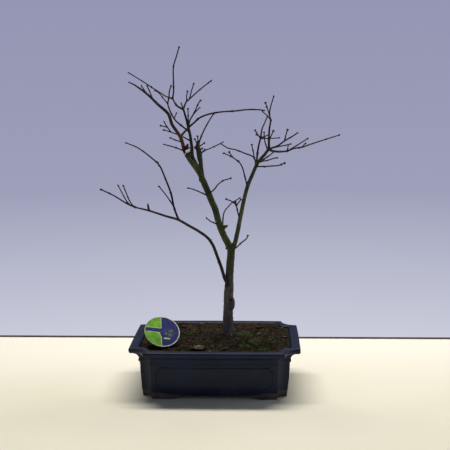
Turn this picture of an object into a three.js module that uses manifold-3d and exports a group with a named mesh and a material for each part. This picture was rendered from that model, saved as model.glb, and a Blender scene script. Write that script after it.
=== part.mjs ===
// A leafless Japanese maple bonsai in a glazed rectangular pot with scooped corners.
// Millimetres, +Z up. The pieces are made round the pot's centre on the table. At the end
// the whole group moves so that the middle of the object's footprint is the origin.
import * as THREE from 'three';
import { mergeVertices } from 'three/addons/utils/BufferGeometryUtils.js';
import Module from 'manifold-3d';

const wasm = await Module();
wasm.setup();

// Driving dimensions
const clearance = 0.3; // gap between pieces that touch
const potHalfLength = 127;
const potHalfWidth = 90;
const rimHeight = 74;
const rimNotch = 24; // radius of the scoop at each corner of the rim
const longSideBow = 1.5; // the long sides swell out by this much at their middle
const shortSideBow = 0.5;
const footHeight = 6; // the pot's underside stands this far above the table
const floorHeight = 14; // the floor inside the pot
const drainHoleRadius = 9;
const drainHoleOffset = 52; // each hole's distance from the pot's centre, along the pot
const soilLevel = 68.5; // the soil's height half-way across the pot, away from the trunk
const soilSlope = 0.04; // it rises by this much for each millimetre towards the back
const soilMoundHeight = 7; // and by this much round the trunk
const soilMoundLength = 48;
const soilMoundWidth = 38;
const soilDips = 0.9; // height of the broad unevenness of its surface
const soilRipples = 0.5;
const trunkX = 18;
const trunkY = 8;
const crownTop = 79; // the root crown, partly buried
const crownBottom = 58;
const meshSize = 40;
const meshCells = 4; // openings along each side of the mesh
const meshStrand = 2; // width of the plastic between two openings
const meshThickness = 1;
const wireRadius = 0.8;
const labelRadius = 27;
const labelThickness = 2.4;
const labelLean = 49; // degrees back from upright
const labelTurn = 20; // degrees turned towards the trunk
const labelCentre = new THREE.Vector3(-81, -25, 86.6);
const labelRim = 1.6; // width of the raised rim round the printed face
const labelRecess = 1; // the face lies this far below it
const labelSides = 40;
const stakeWidth = 11;
const stakeBottom = 34;
const budLength = 7;
const budRadius = 1.4;

const plant = new THREE.Group();

// Geometry helpers

function indexed(geometry) {
  const bare = geometry.clone();
  bare.deleteAttribute('normal');
  bare.deleteAttribute('uv');
  const merged = mergeVertices(bare, 1e-3);
  const kept = [];
  const corners = merged.index.array;
  for (let i = 0; i < corners.length; i += 3) {
    const [a, b, c] = corners.slice(i, i + 3);
    const collapsed = a === b || b === c || c === a;
    if (!collapsed) kept.push(a, b, c);
  }
  merged.setIndex(kept);
  return merged;
}

function solidOf(geometry) {
  const closed = indexed(geometry);
  const mesh = new wasm.Mesh({
    numProp: 3,
    vertProperties: new Float32Array(closed.attributes.position.array),
    triVerts: new Uint32Array(closed.index.array),
  });
  return new wasm.Manifold(mesh);
}

function geometryOf(solid) {
  const mesh = solid.getMesh();
  const geometry = new THREE.BufferGeometry();
  geometry.setAttribute('position', new THREE.BufferAttribute(mesh.vertProperties, 3));
  geometry.setIndex(new THREE.BufferAttribute(mesh.triVerts, 1));
  geometry.computeVertexNormals();
  return geometry;
}

function joined(solids) {
  return solids.reduce((whole, next) => whole.add(next));
}

// A solid of revolution from pairs of radius and height
function turned(profile, sides) {
  return new THREE.LatheGeometry(profile.map(([r, height]) => new THREE.Vector2(r, height)), sides);
}

function addPiece(name, geometry, color, roughness, metalness = 0) {
  const material = new THREE.MeshStandardMaterial({ color, roughness, metalness });
  const mesh = new THREE.Mesh(indexed(geometry), material);
  mesh.name = name;
  plant.add(mesh);
  return mesh;
}

// Stacks outlines that have the same number of points into one closed solid, bottom first.
function loft(levels) {
  const rings = levels.map((level) => level.outline);
  const count = rings[0].length;
  const positions = [];
  levels.forEach((level) => level.outline.forEach((p) => positions.push(p.x, p.y, level.z)));
  const index = [];
  for (let k = 0; k + 1 < rings.length; k += 1) {
    for (let j = 0; j < count; j += 1) {
      const a = k * count + j;
      const b = k * count + ((j + 1) % count);
      index.push(a, b, b + count, a, b + count, a + count);
    }
  }
  const last = (rings.length - 1) * count;
  const { triangulateShape } = THREE.ShapeUtils;
  triangulateShape(rings[0], []).forEach(([a, b, c]) => index.push(c, b, a));
  triangulateShape(rings.at(-1), []).forEach(([a, b, c]) => index.push(a + last, b + last, c + last));
  const geometry = new THREE.BufferGeometry();
  geometry.setAttribute('position', new THREE.Float32BufferAttribute(positions, 3));
  geometry.setIndex(index);
  return solidOf(geometry);
}

// Pot

// A rectangle with bowed sides, and a round scoop out of each corner
function potOutline(halfLength, halfWidth, notch) {
  const a = halfLength - shortSideBow;
  const b = halfWidth - longSideBow;
  const shape = new THREE.Shape();
  shape.moveTo(notch - a, -b);
  shape.quadraticCurveTo(0, -b - 2 * longSideBow, a - notch, -b);
  shape.absarc(a, -b, notch, Math.PI, Math.PI / 2, true);
  shape.quadraticCurveTo(a + 2 * shortSideBow, 0, a, b - notch);
  shape.absarc(a, b, notch, -Math.PI / 2, -Math.PI, true);
  shape.quadraticCurveTo(0, b + 2 * longSideBow, notch - a, b);
  shape.absarc(-a, b, notch, 0, -Math.PI / 2, true);
  shape.quadraticCurveTo(-a - 2 * shortSideBow, 0, -a, notch - b);
  shape.absarc(-a, -b, notch, Math.PI / 2, 0, true);
  return shape.getPoints(3);
}

// One level of the pot: how far it is set in from the rim along and across, its scoop and height
function potLevel(insetLength, insetWidth, notch, z) {
  return { outline: potOutline(potHalfLength - insetLength, potHalfWidth - insetWidth, notch), z };
}

// An arch with ogee shoulders, cut right through under the pot between two feet
function footArch(halfSpan, shoulder, reach) {
  const crest = halfSpan - shoulder; // where each shoulder meets the level top of the arch
  const turn = halfSpan - shoulder / 2;
  const shape = new THREE.Shape();
  shape.moveTo(-halfSpan, -1);
  shape.lineTo(-halfSpan, 0);
  shape.bezierCurveTo(-turn, 0, -turn, footHeight, -crest, footHeight);
  shape.lineTo(crest, footHeight);
  shape.bezierCurveTo(turn, footHeight, turn, 0, halfSpan, 0);
  shape.lineTo(halfSpan, -1);
  const cut = { depth: 2 * reach, bevelEnabled: false, curveSegments: 6 };
  const arch = new THREE.ExtrudeGeometry(shape, cut);
  arch.rotateX(Math.PI / 2);
  arch.translate(0, reach, 0);
  return arch;
}

function potSolid() {
  const outside = loft([
    potLevel(20, 13.5, 15, 0),
    potLevel(19, 12.8, 15, 9),
    potLevel(18.2, 12, 16, 12),
    potLevel(17.2, 11.2, 17, 36),
    potLevel(15.7, 10.4, 18, 52),
    potLevel(13.8, 9.2, 19, 54),
    potLevel(13.8, 9.2, 19, 57),
    potLevel(12.2, 8.2, 19.5, 60.5),
    potLevel(9, 6.2, 20.5, 63.5),
    potLevel(4, 3, 22.5, 66),
    potLevel(0.8, 0.8, 23.5, 67),
    potLevel(0, 0, rimNotch, 68.5),
    potLevel(0, 0, rimNotch, 72),
    potLevel(0.8, 0.8, 23.5, 73.4),
    potLevel(2.4, 2.4, 23, rimHeight),
  ]);
  const inside = loft([
    potLevel(26, 22, 14, floorHeight),
    potLevel(22, 19, 15, floorHeight + 4),
    potLevel(18, 16, 17, 45),
    potLevel(13.8, 13.8, 18.5, 71.5),
    potLevel(12.6, 12.6, 19, 73.4),
    potLevel(11, 11, 19.5, rimHeight + 1),
  ]);
  const underside = loft([potLevel(31, 25, 9, -1), potLevel(31, 25, 9, footHeight)]);
  const alongArch = solidOf(footArch(70, 28, potHalfWidth));
  const acrossArch = solidOf(footArch(42, 22, potHalfLength).rotateZ(Math.PI / 2));
  const drill = new THREE.CylinderGeometry(drainHoleRadius, drainHoleRadius, 2 * floorHeight, 16);
  drill.rotateX(Math.PI / 2).translate(0, 0, floorHeight / 2);
  const holes = [-1, 1].map((side) => solidOf(drill.clone().translate(side * drainHoleOffset, 0, 0)));
  const cuts = [inside, underside, alongArch, acrossArch, ...holes];
  return cuts.reduce((body, cut) => body.subtract(cut), outside);
}

// Plastic mesh over each drainage hole, held by a wire clip through the hole

function meshSquare() {
  const cells = meshCells;
  const pitch = meshSize / cells;
  const opening = pitch - meshStrand;
  const cell = new THREE.BoxGeometry(opening, opening, 3 * meshThickness);
  let square = solidOf(new THREE.BoxGeometry(meshSize, meshSize, meshThickness));
  for (let i = 0; i < cells ** 2; i += 1) {
    const x = ((i % cells) + 0.5) * pitch - meshSize / 2;
    const y = (Math.floor(i / cells) + 0.5) * pitch - meshSize / 2;
    square = square.subtract(solidOf(cell.clone().translate(x, y, 0)));
  }
  return geometryOf(square).translate(0, 0, meshThickness / 2);
}

const meshBottom = floorHeight + clearance;
const wireTop = meshBottom + meshThickness + clearance + 2 * wireRadius;

// The clip runs over the mesh, down through two of its cells and out under the pot's floor.
function wireClip() {
  const cellMiddle = meshSize / meshCells / 2; // both legs go through the middle of a cell
  const end = 15;
  const low = footHeight - clearance - wireRadius;
  const high = wireTop - wireRadius;
  const route = [[-end, low], [-cellMiddle, low], [-cellMiddle, high],
    [cellMiddle, high], [cellMiddle, low], [end, low]];
  const points = route.map(([x, z]) => new THREE.Vector3(x, cellMiddle, z));
  const extrudePath = new THREE.CatmullRomCurve3(points, false, 'catmullrom', 0.05);
  const section = new THREE.Shape().absarc(0, 0, wireRadius, 0, 2 * Math.PI);
  const drawn = { steps: 30, curveSegments: 3, extrudePath, bevelEnabled: false };
  return new THREE.ExtrudeGeometry(section, drawn);
}

// Soil

function soilHeight(x, y) {
  const alongMound = (x - trunkX) / soilMoundLength;
  const acrossMound = (y - trunkY) / soilMoundWidth;
  const mound = soilMoundHeight * Math.exp(-(alongMound ** 2) - acrossMound ** 2);
  const dips = soilDips * Math.sin(x / 11 + 1) * Math.cos(y / 9);
  const ripples = soilRipples * Math.sin(x / 5 - y / 6);
  return soilLevel + soilSlope * y + mound + dips + ripples;
}

// A block whose top is the surface of the soil, raised by lift
function soilBlock(lift) {
  const cellsAlong = 24;
  const cellsAcross = 17;
  const block = new THREE.BoxGeometry(2 * potHalfLength, 2 * potHalfWidth, 2, cellsAlong, cellsAcross, 1);
  const position = block.attributes.position;
  for (let i = 0; i < position.count; i += 1) {
    const surface = soilHeight(position.getX(i), position.getY(i)) + lift;
    position.setZ(i, position.getZ(i) > 0 ? surface : 0);
  }
  return solidOf(block);
}

// The foot of the trunk, flaring out to the buried tops of the roots
function rootCrown(gap) {
  const profile = [[0, crownBottom - gap], [21 + gap, crownBottom - gap], [19 + gap, 65],
    [13 + gap, 71.5], [9.4 + gap, 75], [8.4 + gap, crownTop], [0, crownTop]];
  return turned(profile, 14).rotateX(Math.PI / 2).translate(trunkX, trunkY, 0);
}

function soilSolid() {
  const bottom = floorHeight + clearance;
  const reach = [
    potLevel(26 + clearance, 22 + clearance, 14, bottom),
    potLevel(22 + clearance, 19 + clearance, 15, floorHeight + 4 + clearance),
    potLevel(18 + clearance, 16 + clearance, 17, 45),
    potLevel(13.8 + clearance, 13.8 + clearance, 18.5, 71.5),
    potLevel(13.4 + clearance, 13.4 + clearance, 18.5, rimHeight + soilMoundHeight),
  ];
  const recessSize = meshSize + 2;
  const recess = new THREE.BoxGeometry(recessSize, recessSize, 2 * (wireTop + clearance - bottom));
  const recessAt = (x) => solidOf(recess.clone().translate(x, 0, bottom));
  const recesses = [recessAt(-drainHoleOffset), recessAt(drainHoleOffset)];
  const cuts = [...recesses, solidOf(rootCrown(clearance)), solidOf(labelStake(clearance))];
  return cuts.reduce((fill, cut) => fill.subtract(cut), loft(reach).intersect(soilBlock(0)));
}

// Label: a round tag leaning back on an upright stake, with a printed face set into it

function stoodUp(geometry) {
  const lean = THREE.MathUtils.degToRad(labelLean);
  const turn = THREE.MathUtils.degToRad(labelTurn);
  const stood = geometry.rotateX(Math.PI - lean).rotateZ(turn);
  return stood.translate(labelCentre.x, labelCentre.y, labelCentre.z);
}

function labelStake(gap) {
  const bottom = stakeBottom - gap;
  const top = labelCentre.z + 6;
  const behindCentre = 3;
  const stake = new THREE.BoxGeometry(stakeWidth + 2 * gap, labelThickness + 2 * gap, top - bottom);
  stake.translate(0, behindCentre, (top + bottom) / 2).rotateZ(THREE.MathUtils.degToRad(labelTurn));
  return stake.translate(labelCentre.x, labelCentre.y, 0);
}

function labelTag() {
  const seat = labelThickness - labelRecess;
  const inner = labelRadius - labelRim;
  const chamfer = 0.5;
  const disc = turned([[0, 0], [labelRadius - chamfer, 0], [labelRadius, chamfer],
    [labelRadius, labelThickness], [inner, labelThickness], [inner, seat], [0, seat]], labelSides);
  const inFront = new THREE.BoxGeometry(80, 60, 80).translate(0, 30 + seat / 2, 0);
  const stake = solidOf(labelStake(0)).subtract(solidOf(stoodUp(inFront)));
  return solidOf(stoodUp(disc)).add(stake);
}

function labelFace() {
  const bottom = labelThickness - labelRecess + clearance;
  const top = bottom + 0.4;
  const radius = labelRadius - labelRim - clearance;
  return stoodUp(turned([[0, bottom], [radius, bottom], [radius, top], [0, top]], labelSides));
}

// Small pieces lying on the soil, each with its underside fitted to the surface

const soilSurface = soilBlock(clearance);

function laidOnSoil(geometry, x, y, turn) {
  const laid = geometry.clone();
  laid.rotateZ(THREE.MathUtils.degToRad(turn));
  laid.translate(x, y, soilHeight(x, y));
  return geometryOf(solidOf(laid).subtract(soilSurface));
}

// A leaf or a scrap of one: a thin plate narrowed to both ends, with its edges curled up
function curledLeaf(length, width, curl) {
  const thickness = 0.7;
  const leaf = new THREE.BoxGeometry(length, width, thickness, 8, 4, 1);
  const position = leaf.attributes.position;
  for (let i = 0; i < position.count; i += 1) {
    const along = position.getX(i) / length;
    const across = position.getY(i) / (width / 2);
    position.setY(i, position.getY(i) * (0.15 + 0.85 * Math.cos(Math.PI * along)));
    position.setZ(i, position.getZ(i) + curl * across ** 2 + curl * along ** 2 + 2);
  }
  return leaf;
}

function addGroundCover() {
  // x, y, length, width, height, turn
  const mossPads = [
    [42, 12, 34, 26, 5, 20],
    [60, -16, 30, 22, 4, -15],
    [42, -36, 24, 18, 4, 10],
    [74, -46, 22, 16, 4, 30],
    [-12, -20, 22, 16, 3.5, 0],
    [-42, 26, 26, 18, 4, -25],
    [-46, -50, 13, 11, 4, 0],
    [86, 4, 18, 14, 3.5, 15],
  ];
  mossPads.forEach(([x, y, length, width, height, turn], i) => {
    const cushion = new THREE.SphereGeometry(1, 10, 6).scale(length / 2, width / 2, height);
    addPiece(`moss_pad_${i + 1}`, laidOnSoil(cushion, x, y, turn), 0x5f6b2a, 0.95);
  });

  // x, y, radius
  const pebbles = [[-27, 66, 3], [2, 68, 2.6], [103, 52, 2.8], [82, -8, 2.6], [106, 8, 2.4],
    [66, 15, 3.4], [-6, -62, 2.4], [-62, 4, 2.6]];
  pebbles.forEach(([x, y, radius], i) => {
    const stone = new THREE.IcosahedronGeometry(radius, 1).scale(1.3, 1, 0.8).translate(0, 0, radius / 3);
    addPiece(`pebble_${i + 1}`, laidOnSoil(stone, x, y, 50 * i), 0xb9b3a6, 0.8);
  });

  // x, y, length, turn
  const chips = [[14, -50, 12, 20], [-4, -40, 10, 75], [30, -64, 9, -10], [-90, 22, 12, 50],
    [-56, 55, 11, -40], [66, 52, 12, 10]];
  chips.forEach(([x, y, length, turn], i) => {
    const chip = new THREE.CylinderGeometry(2.6, 2, length, 5).rotateZ(Math.PI / 2).scale(1, 1, 0.8);
    addPiece(`bark_chip_${i + 1}`, laidOnSoil(chip.translate(0, 0, 1), x, y, turn), 0x4a3524, 0.9);
  });

  addPiece('dry_leaf', laidOnSoil(curledLeaf(24, 17, 4), -25, -44, 20), 0xb08a55, 0.8);
  addPiece('pale_leaf_scrap', laidOnSoil(curledLeaf(9, 6, 2), 9, -67, 5), 0xaeb58a, 0.8);
}

// Tree

const shoots = [];

// A shoot is a bar turned on the lathe, tapered from its foot to its tip, and bent along the
// points it passes through. The finest shoots end in a bud.
function grow(footRadius, tipRadius, along, sides = 5) {
  const points = along.map((p) => new THREE.Vector3(...p));
  const path = new THREE.CatmullRomCurve3(points, false, 'centripetal');
  const ringSpacing = 10 + 2 * footRadius;
  const steps = Math.max(2, Math.round(path.getLength() / ringSpacing));
  const frames = path.computeFrenetFrames(steps, false);
  const profile = [new THREE.Vector2(0, 0)];
  for (let i = 0; i <= steps; i += 1) {
    profile.push(new THREE.Vector2(THREE.MathUtils.lerp(footRadius, tipRadius, i / steps), i));
  }
  profile.push(new THREE.Vector2(0, steps));
  const bar = new THREE.LatheGeometry(profile, sides);
  const position = bar.attributes.position;
  const local = new THREE.Vector3();
  for (let i = 0; i < position.count; i += 1) {
    local.fromBufferAttribute(position, i);
    const ring = Math.round(local.y);
    const point = path.getPointAt(ring / steps);
    point.addScaledVector(frames.normals[ring], local.x);
    point.addScaledVector(frames.binormals[ring], -local.z);
    position.setXYZ(i, point.x, point.y, point.z);
  }
  shoots.push(solidOf(bar));
  if (tipRadius <= 0.8) shoots.push(solidOf(bud(path)));
}

function bud(path) {
  const shape = new THREE.SphereGeometry(1, 5, 3).scale(budRadius, budLength / 2, budRadius);
  const upright = new THREE.Vector3(0, 1, 0);
  shape.applyQuaternion(new THREE.Quaternion().setFromUnitVectors(upright, path.getTangentAt(1)));
  const tip = path.getPointAt(1);
  return shape.translate(tip.x, tip.y, tip.z);
}

// A callus round an old pruning wound
function swell(x, y, z, radius) {
  shoots.push(solidOf(new THREE.SphereGeometry(radius, 7, 5).scale(1, 1, 1.3).translate(x, y, z)));
}

function growTrunk() {
  grow(8.6, 5.8, [[18, 8, 62], [18, 8, 98], [18, 9, 124], [20, 8, 156], [23, 7, 202], [23, 6, 217]], 12);
  swell(24, 7, 124, 4.6);
  swell(23.5, 6, 149, 3.6);
  swell(23, 6, 213, 6);
}

function growLowLeftBranch() {
  grow(2.4, 1.2, [[19, 8, 154], [14, 4, 162], [3, -11, 205], [-10, -25, 235], [-39, -42, 255],
    [-69, -56, 269], [-112, -70, 284]], 6);
  grow(1, 0.8, [[-111, -70, 284], [-139, -82, 302], [-155, -88, 311]]);
  grow(0.9, 0.8, [[-112, -70, 283], [-124, -58, 300], [-130, -50, 312]]);
  grow(0.9, 0.8, [[-119, -73, 288], [-131, -88, 316]]);
  grow(1.2, 0.8, [[-52, -49, 262], [-63, -34, 299], [-81, -16, 338], [-115, 4, 363], [-134, 14, 370]]);
  grow(0.9, 0.8, [[-57, -42, 277], [-77, -60, 312]]);
}

function growLeftLimb() {
  grow(5, 4.6, [[22, 6, 210], [14, 8, 228], [5, 10, 250], [-6, 15, 282], [-22, 19, 319]], 10);
  swell(-21, 19, 317, 5);
  grow(0.9, 0.8, [[9, 10, 244], [11, 20, 257], [35, 68, 279]]);
  grow(0.9, 0.8, [[8, 10, 243], [0, 4, 248], [-12, -18, 260]]);
  grow(0.9, 0.8, [[-10, 16, 288], [-32, -8, 302], [-39, -16, 305]]);
  grow(0.9, 0.8, [[-8, 18, 292], [4, 0, 308], [24, -24, 320]]);
}

function growOuterLeftCrown() {
  grow(3.4, 1, [[-19, 19, 313], [-32, 18, 334], [-45, 9, 356], [-51, 0, 379], [-62, -11, 398],
    [-67, -22, 415], [-92, -42, 441], [-118, -62, 460]], 8);
  grow(0.9, 0.8, [[-87, -38, 435], [-95, -30, 454]]);
  grow(0.9, 0.8, [[-92, -42, 441], [-100, -56, 454]]);
  grow(0.9, 0.8, [[-49, 2, 371], [-64, -18, 379]]);
  grow(0.9, 0.8, [[-43, 8, 356], [-57, -8, 364], [-73, -24, 370]]);
  // the stub of a shoot that was pruned off
  grow(2.4, 2.2, [[-44, 9, 356], [-41, 2, 358]], 8);
  // the long shoot that arches to the right across the crown
  grow(1.3, 0.8, [[-51, 1, 379], [-41, 6, 391], [-23, -4, 407], [0, -18, 415], [30, -30, 418],
    [72, -36, 419]]);
}

function growUpperLeftCrown() {
  grow(3.3, 1.4, [[-20, 19, 315], [-29, 20, 335], [-36, 24, 361], [-40, 26, 387], [-49, 30, 421]], 8);
  grow(1.3, 1, [[-48, 30, 419], [-58, 26, 425], [-64, 20, 437]]);
  grow(1, 0.8, [[-64, 20, 435], [-62, 18, 464], [-62, 22, 483], [-54, 28, 510]]);
  grow(1, 0.8, [[-64, 20, 435], [-85, 36, 445], [-115, 56, 463], [-136, 70, 475]]);
  grow(1.1, 0.8, [[-49, 30, 419], [-40, 42, 435], [-25, 58, 449], [-9, 72, 462]]);
  grow(0.9, 0.8, [[-44, 37, 430], [-43, 40, 446]]);
  grow(0.9, 0.8, [[-40, 42, 434], [-33, 34, 457]]);
  grow(1.2, 0.8, [[-41, 27, 386], [-62, 38, 403], [-72, 45, 421], [-72, 46, 436], [-68, 42, 454]]);
  grow(0.9, 0.8, [[-73, 46, 427], [-88, 62, 443], [-95, 67, 448]]);
  grow(0.9, 0.8, [[-64, 39, 404], [-61, 46, 414]]);
  grow(1, 0.8, [[-41, 27, 390], [-31, 4, 414], [-20, -12, 433]]);
  grow(0.9, 0.8, [[-31, 4, 413], [-23, 10, 422]]);
  grow(0.9, 0.8, [[-42, 28, 396], [-41, 20, 420]]);
  grow(0.9, 0.8, [[-38, 26, 371], [-52, 30, 379], [-80, 42, 388]]);
  grow(0.9, 0.8, [[-68, 36, 384], [-83, 28, 395]]);
}

function growInnerLeftCrown() {
  grow(3.4, 2, [[-20, 20, 318], [-24, 25, 340], [-27, 34, 357], [-27, 40, 372]], 8);
  grow(1, 0.8, [[-27, 38, 366], [-19, 50, 387], [-5, 62, 411]]);
  grow(0.9, 0.8, [[-27, 37, 362], [-32, 34, 374]]);
  grow(0.9, 0.8, [[-27, 37, 362], [-17, 31, 368]]);
  grow(0.9, 0.8, [[-25, 29, 347], [-9, 56, 359], [9, 75, 367]]);
}

function growRightLimb() {
  grow(4.2, 1.9, [[24, 5, 210], [33, 0, 237], [43, -8, 285], [56, -15, 325], [68, -20, 348],
    [80, -24, 364]], 8);
  grow(0.9, 0.8, [[26, 6, 211], [39, -6, 222], [49, -20, 234]]);
  grow(0.9, 0.8, [[37, -3, 257], [32, -20, 279], [18, -44, 292]]);
  grow(0.9, 0.8, [[32, -20, 278], [39, -34, 290]]);
  grow(0.9, 0.8, [[48, -11, 307], [41, -34, 338], [36, -42, 347]]);
  grow(0.9, 0.8, [[36, -42, 347], [28, -52, 353], [16, -66, 360]]);
  grow(0.9, 0.8, [[62, -18, 336], [83, -46, 340], [101, -70, 346]]);
  grow(1, 0.8, [[61, -16, 338], [58, -4, 349], [44, 14, 354], [8, 54, 365]]);
  grow(0.9, 0.8, [[59, -8, 347], [55, -26, 369]]);
}

function growRightCrown() {
  grow(1.5, 1, [[80, -24, 362], [80, -20, 381], [83, -14, 405]]);
  grow(0.9, 0.8, [[83, -14, 403], [81, -10, 412], [87, -2, 438]]);
  grow(0.9, 0.8, [[81, -10, 411], [75, -24, 429]]);
  grow(0.9, 0.8, [[83, -14, 403], [71, 8, 416]]);
  grow(0.9, 0.8, [[78, -24, 361], [73, -8, 386]]);
  grow(0.9, 0.8, [[80, -22, 374], [86, -34, 389]]);
  grow(1.3, 0.8, [[62, -18, 337], [65, -6, 366], [70, 8, 390], [78, 24, 408]]);
  grow(0.9, 0.8, [[67, 0, 376], [60, 16, 388]]);
  grow(0.9, 0.8, [[67, 0, 376], [62, -14, 383]]);
  grow(0.9, 0.8, [[67, 0, 376], [83, 16, 376], [96, 28, 376]]);
  grow(0.9, 0.8, [[67, 0, 376], [80, -12, 383]]);
  grow(1.3, 0.8, [[79, -24, 361], [92, -38, 368], [119, -68, 388]]);
  grow(0.9, 0.8, [[102, -48, 374], [106, -44, 391]]);
  grow(0.9, 0.8, [[90, -36, 366], [111, -26, 370]]);
}

function growFarRightCrown() {
  grow(1.9, 1.2, [[79, -24, 362], [84, -19, 360], [91, -8, 358], [99, 3, 357], [109, 12, 357]]);
  grow(1, 0.85, [[67, -20, 344], [72, -18, 347], [80, -14, 352], [89, -10, 358]]);
  grow(1, 0.8, [[107, 12, 357], [123, 24, 365], [139, 36, 374]]);
  grow(1.1, 0.8, [[107, 12, 357], [130, 22, 362], [163, 46, 371], [190, 64, 378]]);
  grow(0.9, 0.8, [[72, -18, 347], [76, -30, 352]]);
  grow(0.9, 0.8, [[66, -20, 344], [87, -44, 351]]);
}

function treeSolid() {
  growTrunk();
  growLowLeftBranch();
  growLeftLimb();
  growOuterLeftCrown();
  growUpperLeftCrown();
  growInnerLeftCrown();
  growRightLimb();
  growRightCrown();
  growFarRightCrown();
  return joined([solidOf(rootCrown(0)), ...shoots]);
}

// Assembly

addPiece('pot', geometryOf(potSolid()), 0x1d2233, 0.2);
addPiece('soil', geometryOf(soilSolid()), 0x2f2119, 1);
addPiece('tree', geometryOf(treeSolid()), 0x6b6a3c, 0.85);
addPiece('label_tag', geometryOf(labelTag()), 0xe9ead8, 0.5);
addPiece('label_face', labelFace(), 0x9cbf2e, 0.4);
[['left', -drainHoleOffset], ['right', drainHoleOffset]].forEach(([side, x]) => {
  addPiece(`drainage_mesh_${side}`, meshSquare(), 0x222222, 0.7).position.set(x, 0, meshBottom);
  addPiece(`mesh_wire_${side}`, wireClip(), 0xa8603c, 0.4, 0.9).position.x = x;
});
addGroundCover();

const middle = new THREE.Box3().setFromObject(plant).getCenter(new THREE.Vector3());
plant.position.set(-middle.x, -middle.y, 0);

export default plant;
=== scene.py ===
import math
import random
import bmesh
import bpy
from mathutils import Matrix, Quaternion, Vector, noise
from mathutils.kdtree import KDTree


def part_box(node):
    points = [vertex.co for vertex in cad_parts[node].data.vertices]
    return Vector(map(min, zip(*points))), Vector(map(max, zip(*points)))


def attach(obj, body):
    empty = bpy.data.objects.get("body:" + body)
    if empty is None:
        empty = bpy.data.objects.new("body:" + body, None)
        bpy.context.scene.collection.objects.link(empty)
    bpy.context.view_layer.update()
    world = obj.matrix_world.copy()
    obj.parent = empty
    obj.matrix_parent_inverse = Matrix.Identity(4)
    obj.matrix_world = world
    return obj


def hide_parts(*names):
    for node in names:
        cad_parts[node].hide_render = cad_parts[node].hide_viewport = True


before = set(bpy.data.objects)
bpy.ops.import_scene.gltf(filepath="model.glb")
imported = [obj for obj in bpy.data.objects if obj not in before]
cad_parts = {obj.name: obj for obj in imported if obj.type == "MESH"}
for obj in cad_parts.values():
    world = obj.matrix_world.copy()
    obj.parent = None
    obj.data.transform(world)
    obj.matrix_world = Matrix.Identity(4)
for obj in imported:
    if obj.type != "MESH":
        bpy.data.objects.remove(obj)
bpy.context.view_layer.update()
scene = bpy.context.scene

# The CAD frame's origin is the middle of the footprint. Sizes below are in millimetres from
# the pot's centre on the table, with +X along the pot and +Y away from the front.
potLow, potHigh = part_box("pot")
potMiddle = Vector(((potLow.x + potHigh.x) / 2, (potLow.y + potHigh.y) / 2, 0))
mm = 0.001


def at(x, y, z):
    return potMiddle + Vector((x, y, z)) * mm


def newObject(name, data):
    obj = bpy.data.objects.new(name, data)
    scene.collection.objects.link(obj)
    return obj


def fromBmesh(name, bm, material, smooth=True):
    mesh = bpy.data.meshes.new(name)
    bm.to_mesh(mesh)
    bm.free()
    mesh.polygons.foreach_set("use_smooth", [smooth] * len(mesh.polygons))
    mesh.materials.append(material)
    return newObject(name, mesh)


# Puts a piece on the one rigid body, in place of the CAD nodes named
def standsFor(obj, slot, *nodes):
    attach(obj, "root")
    if nodes:
        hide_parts(*nodes)
    return obj


def applyModifiers(obj):
    depsgraph = bpy.context.evaluated_depsgraph_get()
    mesh = bpy.data.meshes.new_from_object(obj.evaluated_get(depsgraph))
    obj.modifiers.clear()
    obj.data = mesh
    return obj


# Joins touching points and turns every face outwards
def outwards(bm):
    bmesh.ops.remove_doubles(bm, verts=bm.verts, dist=1e-6)
    bmesh.ops.recalc_face_normals(bm, faces=bm.faces)


# The linear colour that shows as this red, green and blue from 0 to 255
def srgb(r, g, b):
    def linear(c):
        c /= 255
        return c / 12.92 if c <= 0.04045 else ((c + 0.055) / 1.055) ** 2.4
    return (linear(r), linear(g), linear(b), 1)


# Round tubes along paths of places and radii in millimetres, as one mesh
def tubesAlong(paths, bevelResolution, closed=False):
    curve = bpy.data.curves.new("tubes", "CURVE")
    curve.dimensions = "3D"
    curve.bevel_depth = mm
    curve.bevel_resolution = bevelResolution
    curve.use_fill_caps = True
    for path in paths:
        spline = curve.splines.new("POLY")
        spline.points.add(len(path) - 1)
        spline.use_cyclic_u = closed
        for point, (place, radius) in zip(spline.points, path):
            point.co = (*at(*place), 1)
            point.radius = radius
    holder = bpy.data.objects.new("tubes", curve)
    mesh = bpy.data.meshes.new_from_object(holder)
    bpy.data.objects.remove(holder)
    return mesh


# Sets a colour ramp's stops, each a position with its red, green and blue
def fillRamp(elements, stops):
    while len(elements) < len(stops):
        elements.new(0.5)
    for element, (position, *colour) in zip(elements, stops):
        element.position = position
        element.color = srgb(*colour)


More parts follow.
